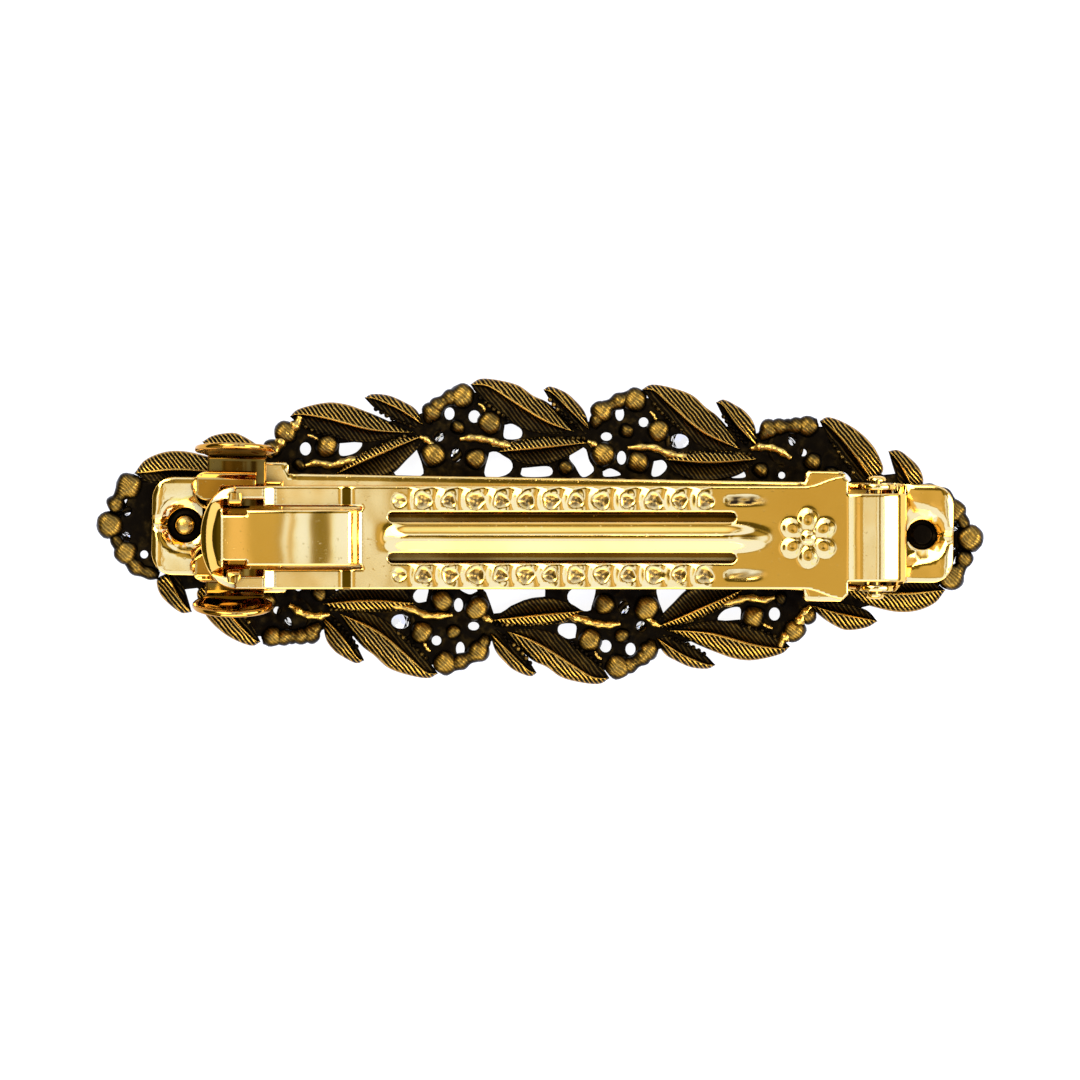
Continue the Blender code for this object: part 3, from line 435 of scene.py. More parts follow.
def leafFront(s, swell):
    z = leaf.ribFront + (leaf.edgeFront - leaf.ribFront) * abs(s) ** 1.8
    z += leaf.groove * math.exp(-(s / 0.08) ** 2)  # the rib is a groove on the front
    return leaf.frontFrom + (z - leaf.frontFrom) * (0.4 + 0.6 * swell)


def leafMesh(name, outer, inner, rib):
    rows, wide = leaf.rows, 2 * leaf.half + 1
    outerLine, innerLine, ribLine = (smoothPath(p, rows) for p in (outer, inner, rib))
    verts, across, back = [], [], []
    for side, height in ((1.0, leafBack), (0.0, leafFront)):
        for i in range(rows):
            swell = math.sin(math.pi * min(1.0, 0.12 + i / (rows - 1) * 0.9)) ** 0.5
            for s in np.linspace(-1, 1, wide):
                edge = outerLine[i] if s > 0 else innerLine[i]
                x, y = ribLine[i] + (edge - ribLine[i]) * abs(s)
                verts.append((x, y, height(s, swell) + bow(x)))
                across.append(s)
                back.append(side)
    size = rows * wide
    faces = []
    for i in range(rows - 1):
        for j in range(wide - 1):
            a = i * wide + j
            faces.append((a, a + 1, a + wide + 1, a + wide))
            faces.append((a + size, a + wide + size, a + wide + 1 + size, a + 1 + size))
        for a in (i * wide, i * wide + wide - 1):
            faces.append((a, a + wide, a + wide + size, a + size))
    for first in (0, size - wide):
        faces += [(a, a + size, a + 1 + size, a + 1) for a in range(first, first + wide - 1)]
    return meshPiece(name, verts, faces, leafPaint, marks={"leafAcross": across, "leafBack": back})


def buildLeaves():
    for label, turned in (("leavesUpper", False), ("leavesLower", True)):
        pieces = []
        for tip, base, *between in leaf.plan:
            lines = [[tip, *points, base] for points in between]
            pieces.append(leafMesh(label, *(halfTurn(p) if turned else p for p in lines)))
        spray = joinPieces(label, pieces)
        if not turned:
            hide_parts("leaf_casting")
        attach(spray, "base")
    print("leaves ready")


buildLeaves()

# Berries, grains and cut stones repeat, so each kind is one small shape set on points by a node tree
berryForm = {
    "height": 1.22, "level": 1.72, "lump": 0.09, "rings": 16, "sides": 22, "seed": 4, "alone": (2.4, 6.4),
    "places": (
        (-41.1, 3.9, 1.35), (-42.4, 2.1, 0.95), (-26.9, 7.9, 0.95), (-25.6, 9.5, 1.2), (-21.5, 8.2, 1.2),
        (-24.2, 6.3, 0.75), (-11.0, 11.8, 1.05), (-8.0, 13.4, 1.3), (-8.4, 10.3, 0.85), (-5.2, 10.8, 1.25),
        (-10.8, 7.5, 1.35), (-6.6, 7.2, 1.15), (6.0, 12.1, 1.15), (9.3, 13.3, 1.25), (8.5, 10.2, 0.85),
        (11.7, 10.3, 1.2), (6.2, 7.8, 1.3), (9.7, 7.1, 1.2), (7.6, 13.0, 0.75), (2.4, 6.4, 0.85),
        (22.8, 10.6, 1.0), (26.6, 10.9, 1.1), (24.6, 10.9, 0.75), (27.2, 7.4, 1.0), (22.0, 6.5, 0.9),
        (29.0, 6.2, 0.9), (41.3, 2.7, 1.25), (-42.95, 0.0, 1.38),
    ),
    "grainSize": 0.26, "grainLevel": 2.2, "grainSeed": 7,
    "grainLines": (
        (((-13.2, 9.5), (-16.2, 8.2), (-19.0, 6.7)), 13), (((4.2, 9.4), (1.0, 9.3), (-2.6, 8.8)), 14),
        (((20.8, 8.1), (17.0, 8.1), (13.6, 7.9)), 15), (((-23.6, 10.1), (-22.3, 9.5), (-20.4, 9.1)), 6),
        (((-6.2, 13.2), (-5.0, 12.3), (-3.4, 11.2)), 7), (((11.2, 12.9), (12.4, 11.7), (14.0, 10.4)), 7),
        (((-16.6, 12.0), (-15.0, 11.1), (-13.2, 10.4)), 7), (((0.8, 13.2), (2.0, 11.8), (3.4, 10.6)), 7),
        (((18.2, 11.8), (19.2, 10.4), (20.4, 9.2)), 7), (((29.0, 9.5), (30.0, 8.0), (31.2, 6.4)), 7),
    ),
}
stoneForm = {
    "height": 1.5, "table": 0.62, "back": 0.3, "bezelWall": 0.5, "gap": 0.25,
    "places": (
        (-27.0, 0.0, 2.6), (-18.0, 0.0, 2.6), (-9.0, 0.0, 2.6), (0.0, 0.0, 2.8), (9.0, 0.0, 2.6),
        (18.0, 0.0, 2.6), (27.0, 0.0, 2.6), (-40.9, 0.0, 1.2), (40.9, 0.0, 1.2), (-9.5, 8.5, 1.2),
        (9.5, -8.5, 1.2), (-14.3, -9.3, 1.2), (14.3, 9.3, 1.2), (-24.4, -8.8, 1.1), (24.4, 8.8, 1.1),
    ),
    "cupTop": 1.9, "beads": 6, "beadSize": 0.26, "beadLevel": 0.5,
}
berry, stone = SimpleNamespace(**berryForm), SimpleNamespace(**stoneForm)


def scatterTree(label):
    # sets a copy of one shape on every point, sized by the point's own radius, and makes it one mesh
    tree = bpy.data.node_groups.new(label, "GeometryNodeTree")
    for name, kind in (("Geometry", "Geometry"), ("Shape", "Object"), ("Paint", "Material"),
                       ("Size", "Float"), ("Turn", "Float"), ("Seed", "Int")):
        tree.interface.new_socket(name, in_out="INPUT", socket_type="NodeSocket" + kind)
    tree.interface.new_socket("Geometry", in_out="OUTPUT", socket_type="NodeSocketGeometry")
    got = tree.nodes.new("NodeGroupInput").outputs
    put = tree.nodes.new("NodeGroupOutput").inputs
    radius = addNode(tree, "GeometryNodeInputNamedAttribute", {0: "size"}, data_type="FLOAT")
    scale = Wire(radius.outputs[0]) * got["Size"]
    spin = addNode(tree, "FunctionNodeRandomValue", {"Seed": got["Seed"], 3: got["Turn"]}, data_type="FLOAT")
    turned = addNode(tree, "ShaderNodeCombineXYZ", {2: spin.outputs[1]})
    shape = addNode(tree, "GeometryNodeObjectInfo", {"Object": got["Shape"]})
    copies = addNode(tree, "GeometryNodeInstanceOnPoints",
                     {"Points": got["Geometry"], "Instance": shape.outputs["Geometry"],
                      "Rotation": turned.outputs[0], "Scale": scale})
    real = addNode(tree, "GeometryNodeRealizeInstances", {0: copies.outputs[0]})
    painted = addNode(tree, "GeometryNodeSetMaterial",
                      {"Geometry": real.outputs[0], "Material": got["Paint"]})
    fill(put, {0: painted.outputs[0]})
    return tree


setOnPoints = scatterTree("setOnPoints")


def scatter(name, shape, places, paint, seed=0):
    # places: x, y, z, radius; the shape is only a pattern and goes afterwards
    mesh = bpy.data.meshes.new(name)
    mesh.from_pydata([(x * mm, y * mm, z * mm) for x, y, z, _ in places], [], [])
    mesh.attributes.new("size", "FLOAT", "POINT").data.foreach_set("value", [r for *_, r in places])
    holder = bpy.data.objects.new(name, mesh)
    scene.collection.objects.link(holder)
    nodes = holder.modifiers.new("scatter", "NODES")
    nodes.node_group = setOnPoints
    keys = {s.name: s.identifier for s in setOnPoints.interface.items_tree if s.in_out == "INPUT"}
    for label, value in (("Shape", shape), ("Paint", paint), ("Size", 1.0), ("Turn", 0.0), ("Seed", seed)):
        nodes[keys[label]] = value
    bpy.context.view_layer.update()
    graph = bpy.context.evaluated_depsgraph_get()
    baked = bpy.data.meshes.new_from_object(holder.evaluated_get(graph))
    holder.modifiers.clear()
    holder.data = baked
    baked.name = name
    baked.polygons.foreach_set("use_smooth", [True] * len(baked.polygons))
    bpy.data.meshes.remove(mesh)
    bpy.data.objects.remove(shape)
    return holder


def reshape(made, change):
    # change works on the points in place, in millimetres
    spots = np.zeros(len(made.data.vertices) * 3)
    made.data.vertices.foreach_get("co", spots)
    spots = spots.reshape(-1, 3) / mm
    change(spots)
    made.data.vertices.foreach_set("co", (spots * mm).ravel())


def lathe(profile, sides):
    # profile: radius, z. Ends at radius 0 are closed to a point
    verts, faces, rows = [], [], []
    for r, z in profile:
        count = 1 if r < 1e-6 else sides
        rows.append(list(range(len(verts), len(verts) + count)))
        verts += [(x, y, z) for x, y in (ring(0.0, 0.0, r, r, sides) if count > 1 else [(0.0, 0.0)])]
    for low, high in zip(rows, rows[1:]):
        for i in range(sides):
            j = (i + 1) % sides
            if len(low) == 1:
                faces.append((low[0], high[j], high[i]))
            elif len(high) == 1:
                faces.append((low[i], low[j], high[0]))
            else:
                faces.append((low[i], low[j], high[j], high[i]))
    return verts, faces


def ball(rings, sides, height=1.0):
    return lathe([(math.sin(math.pi * i / rings), -math.cos(math.pi * i / rings) * height)
                  for i in range(rings + 1)], sides)


def facetedStone():
    # brilliant cut: table, crown kites, girdle, pavilion
    layers = ((0.0, stone.table, 0.0, 8), (0.30, 0.86, 0.5, 8), (0.52, 1.0, 0.0, 16), (0.66, 1.0, 0.0, 16),
              (1.0, stone.back, 0.0, 8))
    verts, rows = [], []
    for z, r, offset, sides in layers:
        rows.append(list(range(len(verts), len(verts) + sides)))
        angles = [2 * math.pi * (i + offset) / sides for i in range(sides)]
        verts += [(r * math.cos(a), r * math.sin(a), z) for a in angles]
    table, crown, girdleLow, girdleHigh, back = rows
    faces = [tuple(table[::-1])]
    for i in range(8):
        j = (i + 1) % 8
        faces += [(table[i], table[j], crown[i]), (table[j], crown[j], crown[i])]
        a, b, c = girdleLow[2 * i], girdleLow[2 * i + 1], girdleLow[(2 * i + 2) % 16]
        faces += [(crown[i - 1], crown[i], a), (crown[i], b, a), (crown[i], c, b)]
    for i in range(16):
        j = (i + 1) % 16
        faces.append((girdleLow[i], girdleLow[j], girdleHigh[j], girdleHigh[i]))
    for i in range(8):
        j = (i + 1) % 8
        a, b, c = girdleHigh[2 * i], girdleHigh[2 * i + 1], girdleHigh[(2 * i + 2) % 16]
        faces += [(a, b, back[i]), (b, back[j], back[i]), (b, c, back[j])]
    return verts, faces + [tuple(back)]


def lumpy(spots):
    # wide berries are squashed to the height of the rest, and all are a little uneven
    rest = bow(spots[:, 0]) + berry.level
    spots[:, 2] = rest + np.clip(np.tanh((spots[:, 2] - rest) / 1.25) * 1.32, -1.25, 1.12)
    x, y, z = spots.T.copy()
    spots[:, 0] += berry.lump * np.sin(2.9 * y + 1.3 * x) * np.cos(1.7 * x + 2.1 * z)
    spots[:, 1] += berry.lump * np.sin(2.6 * x - 1.1 * y) * np.cos(1.9 * y + 1.6 * z)
    spots[:, 2] += 0.6 * berry.lump * np.sin(3.3 * x + 0.7) * np.sin(2.8 * y)


def evenDepth(spots):
    # every stone is as deep as the rest, however wide
    each = len(spots) // len(stone.places)
    for i, (x, _, r) in enumerate(stone.places):
        depth = spots[i * each:(i + 1) * each, 2]
        depth[:] = bow(x) + (depth - bow(x)) / r * stone.height


def buildBerries():
    places = []
    for x, y, r in berry.places:
        places.append((x, y, berry.level + bow(x), r))
        if (x, y) != berry.alone:
            places.append((-x, -y, berry.level + bow(x), r))
    shape = meshPiece("berryShape", *ball(berry.rings, berry.sides, berry.height), berryPaint)
    berries = scatter("berries", shape, places, berryPaint, berry.seed)
    reshape(berries, lumpy)
    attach(berries, "base")
    print("berries ready", len(places))


def buildStones():
    shape = meshPiece("stoneShape", *facetedStone(), stonePaint, sharp=8)
    stones = scatter("cutStones", shape, [(x, y, bow(x), r) for x, y, r in stone.places], stonePaint)
    stones.data.polygons.foreach_set("use_smooth", [False] * len(stones.data.polygons))
    reshape(stones, evenDepth)
    stoneNames = [f"crystal_{i:02d}" for i in range(1, len(stone.places) + 1)]
    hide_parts(*stoneNames)
    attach(stones, "base")
    print("stones ready", len(stoneNames))


def buildCups():
    cups = []
    beadVerts, beadFaces = ball(6, 10)
    for x, y, r in stone.places:
        inner, outer = r + stone.gap, r + stone.gap + stone.bezelWall
        profile = [(inner, stone.cupTop), (inner, 0.75), (inner - 0.18, 0.62), (inner, 0.52),
                   ((inner + outer) / 2, 0.48), (outer, 0.62), (outer, stone.cupTop), (inner, stone.cupTop)]
        verts, faces = lathe(profile, 40)
        cups.append(meshPiece("cup", shift(verts, x, y, bow(x)), faces, cupPaint))
        # beads hold each stone's edge
        for k in range(stone.beads):
            a = 2 * math.pi / stone.beads * k + 0.2
            at = (x + (inner - 0.1) * math.cos(a), y + (inner - 0.1) * math.sin(a), stone.beadLevel + bow(x))
            cups.append(meshPiece("bead", shift(beadVerts, *at, stone.beadSize), beadFaces, cupPaint))
    setting = joinPieces("stoneCups", cups)
    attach(setting, "base")
    print("cups ready", len(cups))


def buildGranules():
    # tiny grains along the upper edge of the low leaves and inside the large ones
    grains = []
    for line, count in berry.grainLines:
        for x, y in smoothPath(line, count):
            level = berry.grainLevel + bow(x)
            grains += [(x, y, level, berry.grainSize), (-x, -y, level, berry.grainSize)]
    shape = meshPiece("grainShape", *ball(6, 10), grainPaint)
    granules = scatter("granules", shape, grains, grainPaint, berry.grainSeed)
    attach(granules, "base")
    print("granules ready", len(grains))


buildBerries()
buildStones()
buildCups()
buildGranules()

# Sheet metal and webs: a plan with holes, rounded at every edge, raised by a height rule
def edgeOffset(points, distance):
    p = np.array(points)
    a, b = p - np.roll(p, 1, axis=0), np.roll(p, -1, axis=0) - p
    a /= np.linalg.norm(a, axis=1, keepdims=True) + 1e-12
    b /= np.linalg.norm(b, axis=1, keepdims=True) + 1e-12
    normal = np.stack([-(a[:, 1] + b[:, 1]), a[:, 0] + b[:, 0]], axis=1)
    normal /= np.linalg.norm(normal, axis=1, keepdims=True) + 1e-12
    return p + normal * distance


def loopSides(points):
    return zip(points, list(points[1:]) + [points[0]])


def resample(points, pitch):
    found = []
    for a, b in loopSides(points):
        count = max(1, int(math.ceil(math.dist(a, b) / pitch)))
        found += [(a[0] + (b[0] - a[0]) * i / count, a[1] + (b[1] - a[1]) * i / count) for i in range(count)]
    return found


def signedArea(points):
    return sum(a[0] * b[1] - b[0] * a[1] for a, b in loopSides(points)) / 2


def toEdges(points, loops, batch=4000):
    # distance from every point to the nearest edge
    best = np.full(len(points), 1e9)
    for loop in loops:
        a = np.array(loop)
        d = np.roll(a, -1, axis=0) - a
        size = (d * d).sum(1) + 1e-12
        for start in range(0, len(points), batch):
            part = points[start:start + batch]
            t = np.clip(((part[:, None] - a[None]) * d[None]).sum(2) / size[None], 0, 1)
            gap = np.linalg.norm(part[:, None] - a[None] - t[..., None] * d[None], axis=2).min(1)
            best[start:start + batch] = np.minimum(best[start:start + batch], gap)
    return best


def sheetPiece(name, outline, holes, place, paint, thick, edge, pitch=0.5, sharp=None, lines=(), pitShade=None):
    # place turns a spot on the plan and a height above the sheet's underside into a point
    outline = resample(outline if signedArea(outline) > 0 else outline[::-1], pitch)
    holes = [resample(h if signedArea(h) < 0 else h[::-1], pitch) for h in holes]  # holes run the other way
    loops = [outline] + holes
    points, edges, faces = [], [], []
    for loop in loops:
        face = list(range(len(points), len(points) + len(loop)))
        faces.append(face if loop is outline else face[::-1])
        points += loop
    for loop in loops:
        for share in (0.3, 1.0):
            points += [tuple(q) for q in edgeOffset(loop, edge * share)]
    for line in lines:
        edges += [(len(points) + i, len(points) + i + 1) for i in range(len(line) - 1)]
        points += line
    x0, y0 = np.min(outline, axis=0)
    x1, y1 = np.max(outline, axis=0)
    gx, gy = np.meshgrid(np.arange(x0, x1, pitch), np.arange(y0 + pitch / 3, y1, pitch))
    gx = gx + (np.arange(gx.shape[0])[:, None] % 2) * pitch / 2
    grid = np.stack([gx.ravel(), gy.ravel()], axis=1)
    points += [tuple(q) for q in grid[toEdges(grid, loops) > edge + pitch * 0.3]]
    spots, _, triangles, _, _, owners = delaunay_2d_cdt([Vector(q) for q in points], edges, faces, 0, 1e-5)
    kept = [tuple(t) for t, own in zip(triangles, owners) if own and max(own) == 0]
    used = sorted({i for t in kept for i in t})
    index = {old: new for new, old in enumerate(used)}
    spots = np.array([tuple(spots[i]) for i in used])
    rim = np.clip(toEdges(spots, loops), 0, edge)
    drop = edge - np.sqrt(np.maximum(0.0, edge ** 2 - (edge - rim) ** 2))
    top = [place(x, y, thick - d) for (x, y), d in zip(spots, drop)]
    low = [place(x, y, d) for (x, y), d in zip(spots, drop)]
    count = len(used)
    built, sides = [], set()
    for t in kept:
        a, b, c = (index[i] for i in t)
        built += [(a, b, c), (c + count, b + count, a + count)]
        sides |= {(a, b), (b, c), (c, a)}
    built += [(b, a, a + count, b + count) for a, b in sides if (b, a) not in sides]
    # the pits' painted shade goes on the top face as a point attribute
    marks = {"pitShade": [pitShade(x, y) for x, y in spots] + [0.0] * count} if pitShade else None
    return meshPiece(name, top + low, built, paint, sharp, marks)


webForm = {
    "back": 1.95, "front": 1.45,
    "outer": (
        (-40.0, 4.7), (-37.8, 6.2), (-35.0, 6.4), (-31.5, 7.3), (-28.0, 7.0), (-26.4, 9.0), (-24.8, 10.7),
        (-21.0, 11.2), (-17.0, 10.6), (-13.6, 11.0), (-11.0, 12.1), (-8.0, 13.7), (-5.5, 13.9), (-2.0, 12.6),
        (0.6, 12.2), (2.6, 11.8), (4.6, 11.0), (6.0, 12.3), (9.2, 13.6), (11.4, 13.5), (14.0, 12.2),
        (17.0, 10.8), (19.3, 10.8), (21.0, 9.9), (22.8, 10.8), (26.6, 11.0), (28.6, 10.9), (30.6, 9.4),
        (32.4, 7.3), (34.2, 6.2), (35.8, 6.4), (37.2, 4.8),
    ),
    "inner": 3.9,
    "rounds": (
        (-23.6, 7.9, 0.55, 0.65), (-9.25, 11.65, 0.5, 0.62), (-6.75, 11.4, 0.58, 0.62),
        (-8.5, 7.5, 0.5, 0.65), (-10.3, 9.35, 0.5, 0.5), (7.8, 11.9, 0.43, 0.7), (10.2, 11.1, 0.48, 0.48),
        (6.5, 9.6, 0.55, 0.42), (8.05, 7.5, 0.45, 0.68), (10.4, 8.6, 0.34, 0.34), (13.8, 9.25, 0.95, 0.72),
        (24.1, 6.0, 0.34, 0.34), (25.1, 9.6, 0.36, 0.6), (26.2, 8.3, 0.36, 0.36), (-38.4, 5.2, 0.35, 0.3),
    ),
    "shaped": (
        ((-20.2, 8.5), (-18.0, 8.6), (-18.6, 7.6), (-20.1, 7.3)),
        ((-12.5, 8.0), (-11.9, 6.4), (-12.0, 5.4), (-14.5, 5.4), (-14.5, 6.1), (-13.5, 7.1)),
        ((-3.7, 10.6), (-2.9, 10.7), (-2.0, 10.1), (-2.2, 9.3), (-3.7, 9.3)),
        ((-5.2, 7.8), (-4.5, 7.9), (-3.1, 7.1), (-2.9, 6.2), (-3.8, 5.5), (-5.6, 5.5)),
        ((-1.9, 6.3), (0.8, 6.5), (0.9, 5.6), (-1.8, 5.5)),
        ((3.6, 8.3), (4.4, 8.4), (4.8, 7.2), (5.3, 6.2), (4.2, 5.5), (3.4, 6.6), (2.8, 7.5)),
        ((11.3, 7.2), (12.2, 7.3), (12.6, 6.6), (11.9, 5.8), (11.1, 5.8)),
        ((6.2, 6.1), (7.0, 6.4), (8.0, 5.8), (6.4, 5.6)),
        ((18.8, 6.2), (19.8, 6.7), (20.5, 5.8), (19.0, 5.7)),
        ((29.8, 6.5), (30.5, 6.3), (31.0, 5.6), (30.2, 5.4)),
    ),
    # stands in the lower web for the two shaped holes named here
    "wide": (
        (-6.0, -5.5), (-5.3, -6.2), (-4.9, -7.2), (-4.5, -8.3), (-3.7, -8.2), (-2.8, -7.5), (-1.5, -6.9),
        (0.6, -6.5), (0.6, -5.5),
    ),
    "wideFor": (4, 5),
}


def buildWebs():
    w = SimpleNamespace(**webForm)

    def place(x, y, up):
        ripple = 0.08 * math.sin(3.1 * x + 1.7 * y) * math.sin(2.3 * y - 1.1 * x)
        return x, y, w.front + up + (ripple if up > 0.25 else 0.0) + bow(x)

    outline = list(w.outer) + [(x, w.inner) for x in (37.2, 20.0, 0.0, -20.0, -40.0)]
    rounds = [ring(x, y, rx, ry, 18) for x, y, rx, ry in w.rounds]
    shaped = [[tuple(q) for q in smoothPath(list(h) + [h[0]], 26)[:-1]] for h in w.shaped]
    fewer = rounds + [h for i, h in enumerate(shaped) if i not in w.wideFor]
    lowerHoles = [halfTurn(h) for h in fewer] + [list(w.wide)]
    for label, plan, holes in (("webUpper", outline, rounds + shaped),
                               ("webLower", halfTurn(outline), lowerHoles)):
        web = sheetPiece(label, plan, holes, place, webPaint, w.back - w.front, edge=0.16, pitch=0.45)
        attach(web, "base")
    print("webs ready")


buildWebs()

stemForm = {
    "level": 2.15, "twigLevel": 1.9,
    # points, radius, bright or dark
    "runs": (
        (((-23.6, 6.2), (-22.4, 6.5), (-21.0, 6.3), (-19.8, 6.6), (-18.0, 7.1)), 0.42, True),
        (((-27.2, 7.0), (-26.4, 8.0), (-25.6, 9.2), (-24.5, 10.4), (-24.2, 11.2)), 0.55, True),
        (((-8.2, 9.1), (-7.0, 9.25), (-5.5, 9.1), (-4.2, 8.7), (-2.6, 8.35)), 0.44, True),
        (((8.6, 8.5), (10.4, 8.6), (11.5, 8.5), (13.0, 7.9), (15.6, 7.5)), 0.42, True),
        (((20.9, 8.6), (22.0, 8.8), (23.5, 8.6), (25.0, 7.7)), 0.44, True),
        (((-12.2, 9.3), (-11.4, 8.9), (-10.4, 7.9)), 0.36, True),
        (((4.6, 9.1), (5.4, 8.7), (6.3, 7.9)), 0.36, True),
        (((-42.6, 1.4), (-42.0, 2.9), (-40.4, 4.9)), 0.75, False),
        (((38.0, 5.0), (40.2, 4.2), (41.6, 2.6), (42.6, 1.0)), 0.78, False),
        (((-11.4, 10.6), (-11.0, 11.9), (-9.6, 13.0), (-7.4, 14.1)), 0.78, False),
        (((5.2, 10.4), (5.9, 12.0), (7.6, 13.1), (9.6, 14.0)), 0.78, False),
        (((21.8, 9.6), (23.2, 10.7), (25.0, 10.9), (27.6, 11.3)), 0.78, False),
        (((-6.4, 12.7), (-5.9, 12.4), (-5.7, 11.9)), 0.18, True),
        (((10.8, 12.2), (11.2, 11.8), (11.5, 11.2)), 0.18, True),
        (((-23.4, 9.3), (-22.8, 9.1), (-22.3, 8.8)), 0.18, True),
    ),
}


def skin(rows, sides):
    # faces round rows of points, closed at both ends
    faces = []
    for i in range(0, (rows - 1) * sides, sides):
        for k in range(sides):
            m = (k + 1) % sides
            faces.append((i + k, i + m, i + sides + m, i + sides + k))
    return faces + [tuple(range(sides)), tuple(range((rows - 1) * sides, rows * sides))]


def tube(points, radius, sides=14):
    path = smoothPath(points, max(10, len(points) * 7))
    verts = []
    for i, p in enumerate(path):
        ahead = path[min(i + 1, len(path) - 1)] - path[max(i - 1, 0)]
        ahead = ahead / (np.linalg.norm(ahead) + 1e-9)
        taper = min(1.0, 0.55 + 2.2 * min(i, len(path) - 1 - i) / len(path))
        wave = 1.0 + 0.15 * math.sin(0.85 * i + 7.0 * radius)
        for out, up in ring(0.0, 0.0, 1.0, None, sides):
            verts.append(p + np.array([-ahead[1] * out, ahead[0] * out, up]) * radius * taper * wave)
    return verts, skin(len(path), sides)


def buildStems():
    bright, dark = [], []
    for points, radius, shiny in stemForm["runs"]:
        level = stemForm["level"] if shiny else stemForm["twigLevel"]
        for run in (points, halfTurn(points)):
            path = [(x, y, level + bow(x)) for x, y in run]
            made = meshPiece("stem", *tube(path, radius), stemPaint if shiny else berryPaint)
            (bright if shiny else dark).append(made)
    for label, group in (("stems", bright), ("twigs", dark)):
        made = joinPieces(label, group)
        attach(made, "base")
    print("stems ready")


buildStems()

spineForm = {
    "half": 5.1, "end": 33.0, "rail": 1.1, "rung": 2.4, "front": 1.5, "back": 2.2, "pad": 2.6,
    "padBack": 3.0, "rungs": (-31.5, -22.5, -13.5, -4.5, 4.5, 13.5, 22.5, 31.5),
    "pegs": ((-35.4, 0.1, 4.3), (38.1, 0.3, 3.25)), "pegRadius": 0.95,
    "endPlate": ((34.5, -4.6), (40.6, -4.4), (42.2, 0.0), (40.6, 4.4), (34.5, 4.6)),
    "endHoles": ((41.35, 1.2, 0.42, 0.5), (41.3, -1.4, 0.42, 0.5), (39.5, 2.9, 0.4, 0.4)),
}


def buildSpine():
    s = SimpleNamespace(**spineForm)
    reach, thick = s.half - s.rail, s.back - s.front
    windows = []
    for a, b in zip(s.rungs, s.rungs[1:]):
        x0, x1 = a + s.rung / 2, b - s.rung / 2
        windows.append([(x0, -reach), (x1, -reach), (x1, reach), (x0, reach)])
    outline = [(-s.end, -s.half), (s.end, -s.half), (s.end, s.half), (-s.end, s.half)]

    def place(x, y, up):
        return x, y, s.front + up + bow(x)

    pieces = [sheetPiece("spinePlate", outline, windows, place, webPaint, thick, edge=0.2, pitch=0.7)]
    for side in (-1, 1):
        end = [(side * x, y) for x, y in s.endPlate]
        holes = [ring(side * x, side * y, rx, ry, 14) for x, y, rx, ry in s.endHoles]
        pieces.append(sheetPiece("endPlate", end, holes, place, webPaint, thick, edge=0.2))
    r, back = s.pegRadius, s.padBack
    pad = [(0.0, s.front), (s.pad, s.front), (s.pad, back - 0.2), (s.pad - 0.2, back), (r + 0.25, back),
           (r + 0.05, back + 0.15), (r, back + 0.3), (r * 0.9, back + 0.3), (0.0, back + 0.3)]
    for x, y, top in s.pegs:
        peg = [(0.0, back - 0.3), (r - 0.02, back - 0.3), (r, top - 0.45), (r * 0.94, top - 0.22),
               (r * 0.72, top - 0.07), (r * 0.3, top), (0.0, top)]
        # the right peg sits low in its hole and is painted dark as shade
        for profile, paint in ((pad, webPaint), (peg, beadPaint if x < 0 else grainPaint)):
            verts, faces = lathe(profile, 36)
            pieces.append(meshPiece("peg", shift(verts, x, y, bow(x)), faces, paint))
    spine = joinPieces("spine", pieces)
    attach(spine, "base")
    print("spine ready")


buildSpine()

barForm = {
    "sheet": 0.6, "tabBottom": 3.3, "rise": 1.0, "half": 5.4, "tabHalf": 4.9, "left": -38.7, "right": 41.2,
    "corner": 2.2, "leftStep": (-33.4, -32.2), "rightStep": (35.4, 36.4),
    "lugs": ((-27.9, -25.1), (26.3, 30.3)), "lugProud": 1.1,
    "holes": ((-35.4, 0.1, 1.65), (38.1, 0.3, 1.45)), "earInner": 4.7, "earOuter": 5.3, "earRadius": 1.9,
    "earFoot": (30.7, 35.3), "tabShift": 0.4, "lugCorner": 0.3, "tabFrom": 33.0, "drawn": 0.14, "dish": 0.32,
    "dishRadius": 2.75, "endRoll": 0.22,
}
hingeForm = {
    "x": 33.2, "z": 8.3, "pin": 0.55, "hole": 0.85, "head": 0.95, "headLength": 0.5, "gap": 0.3, "heel": 3.1,
    "heelHalf": 4.35, "curl": 40.0, "arc": 4.2,
}
bar, hinge = SimpleNamespace(**barForm), SimpleNamespace(**hingeForm)
pinZ = hinge.z + bow(hinge.x)


def barPlan():
    corner = [(bar.corner * (1 - math.cos(a)), bar.corner * (1 - math.sin(a))) for a in arcAngles(0, 90, 12)]
    upper = [(bar.left + dx, bar.tabHalf - dy) for dx, dy in corner]
    upper += [(bar.leftStep[0], bar.tabHalf), (bar.leftStep[1], bar.half)]
    wide = bar.half + bar.lugProud
    for x0, x1 in bar.lugs:
        c = bar.lugCorner
        upper += [(x0, bar.half), (x0, wide - c), (x0 + c, wide)]
        upper += [(x1 - c, wide), (x1, wide - c), (x1, bar.half)]
    upper += [(bar.rightStep[0], bar.half), (bar.rightStep[1], bar.tabHalf)]
    upper += [(bar.right - dx, bar.tabHalf - dy) for dx, dy in corner][::-1]
    return [(x, y + bar.tabShift * float(x > bar.rightStep[0] + 0.1)) for x, y in mirrored(upper)]


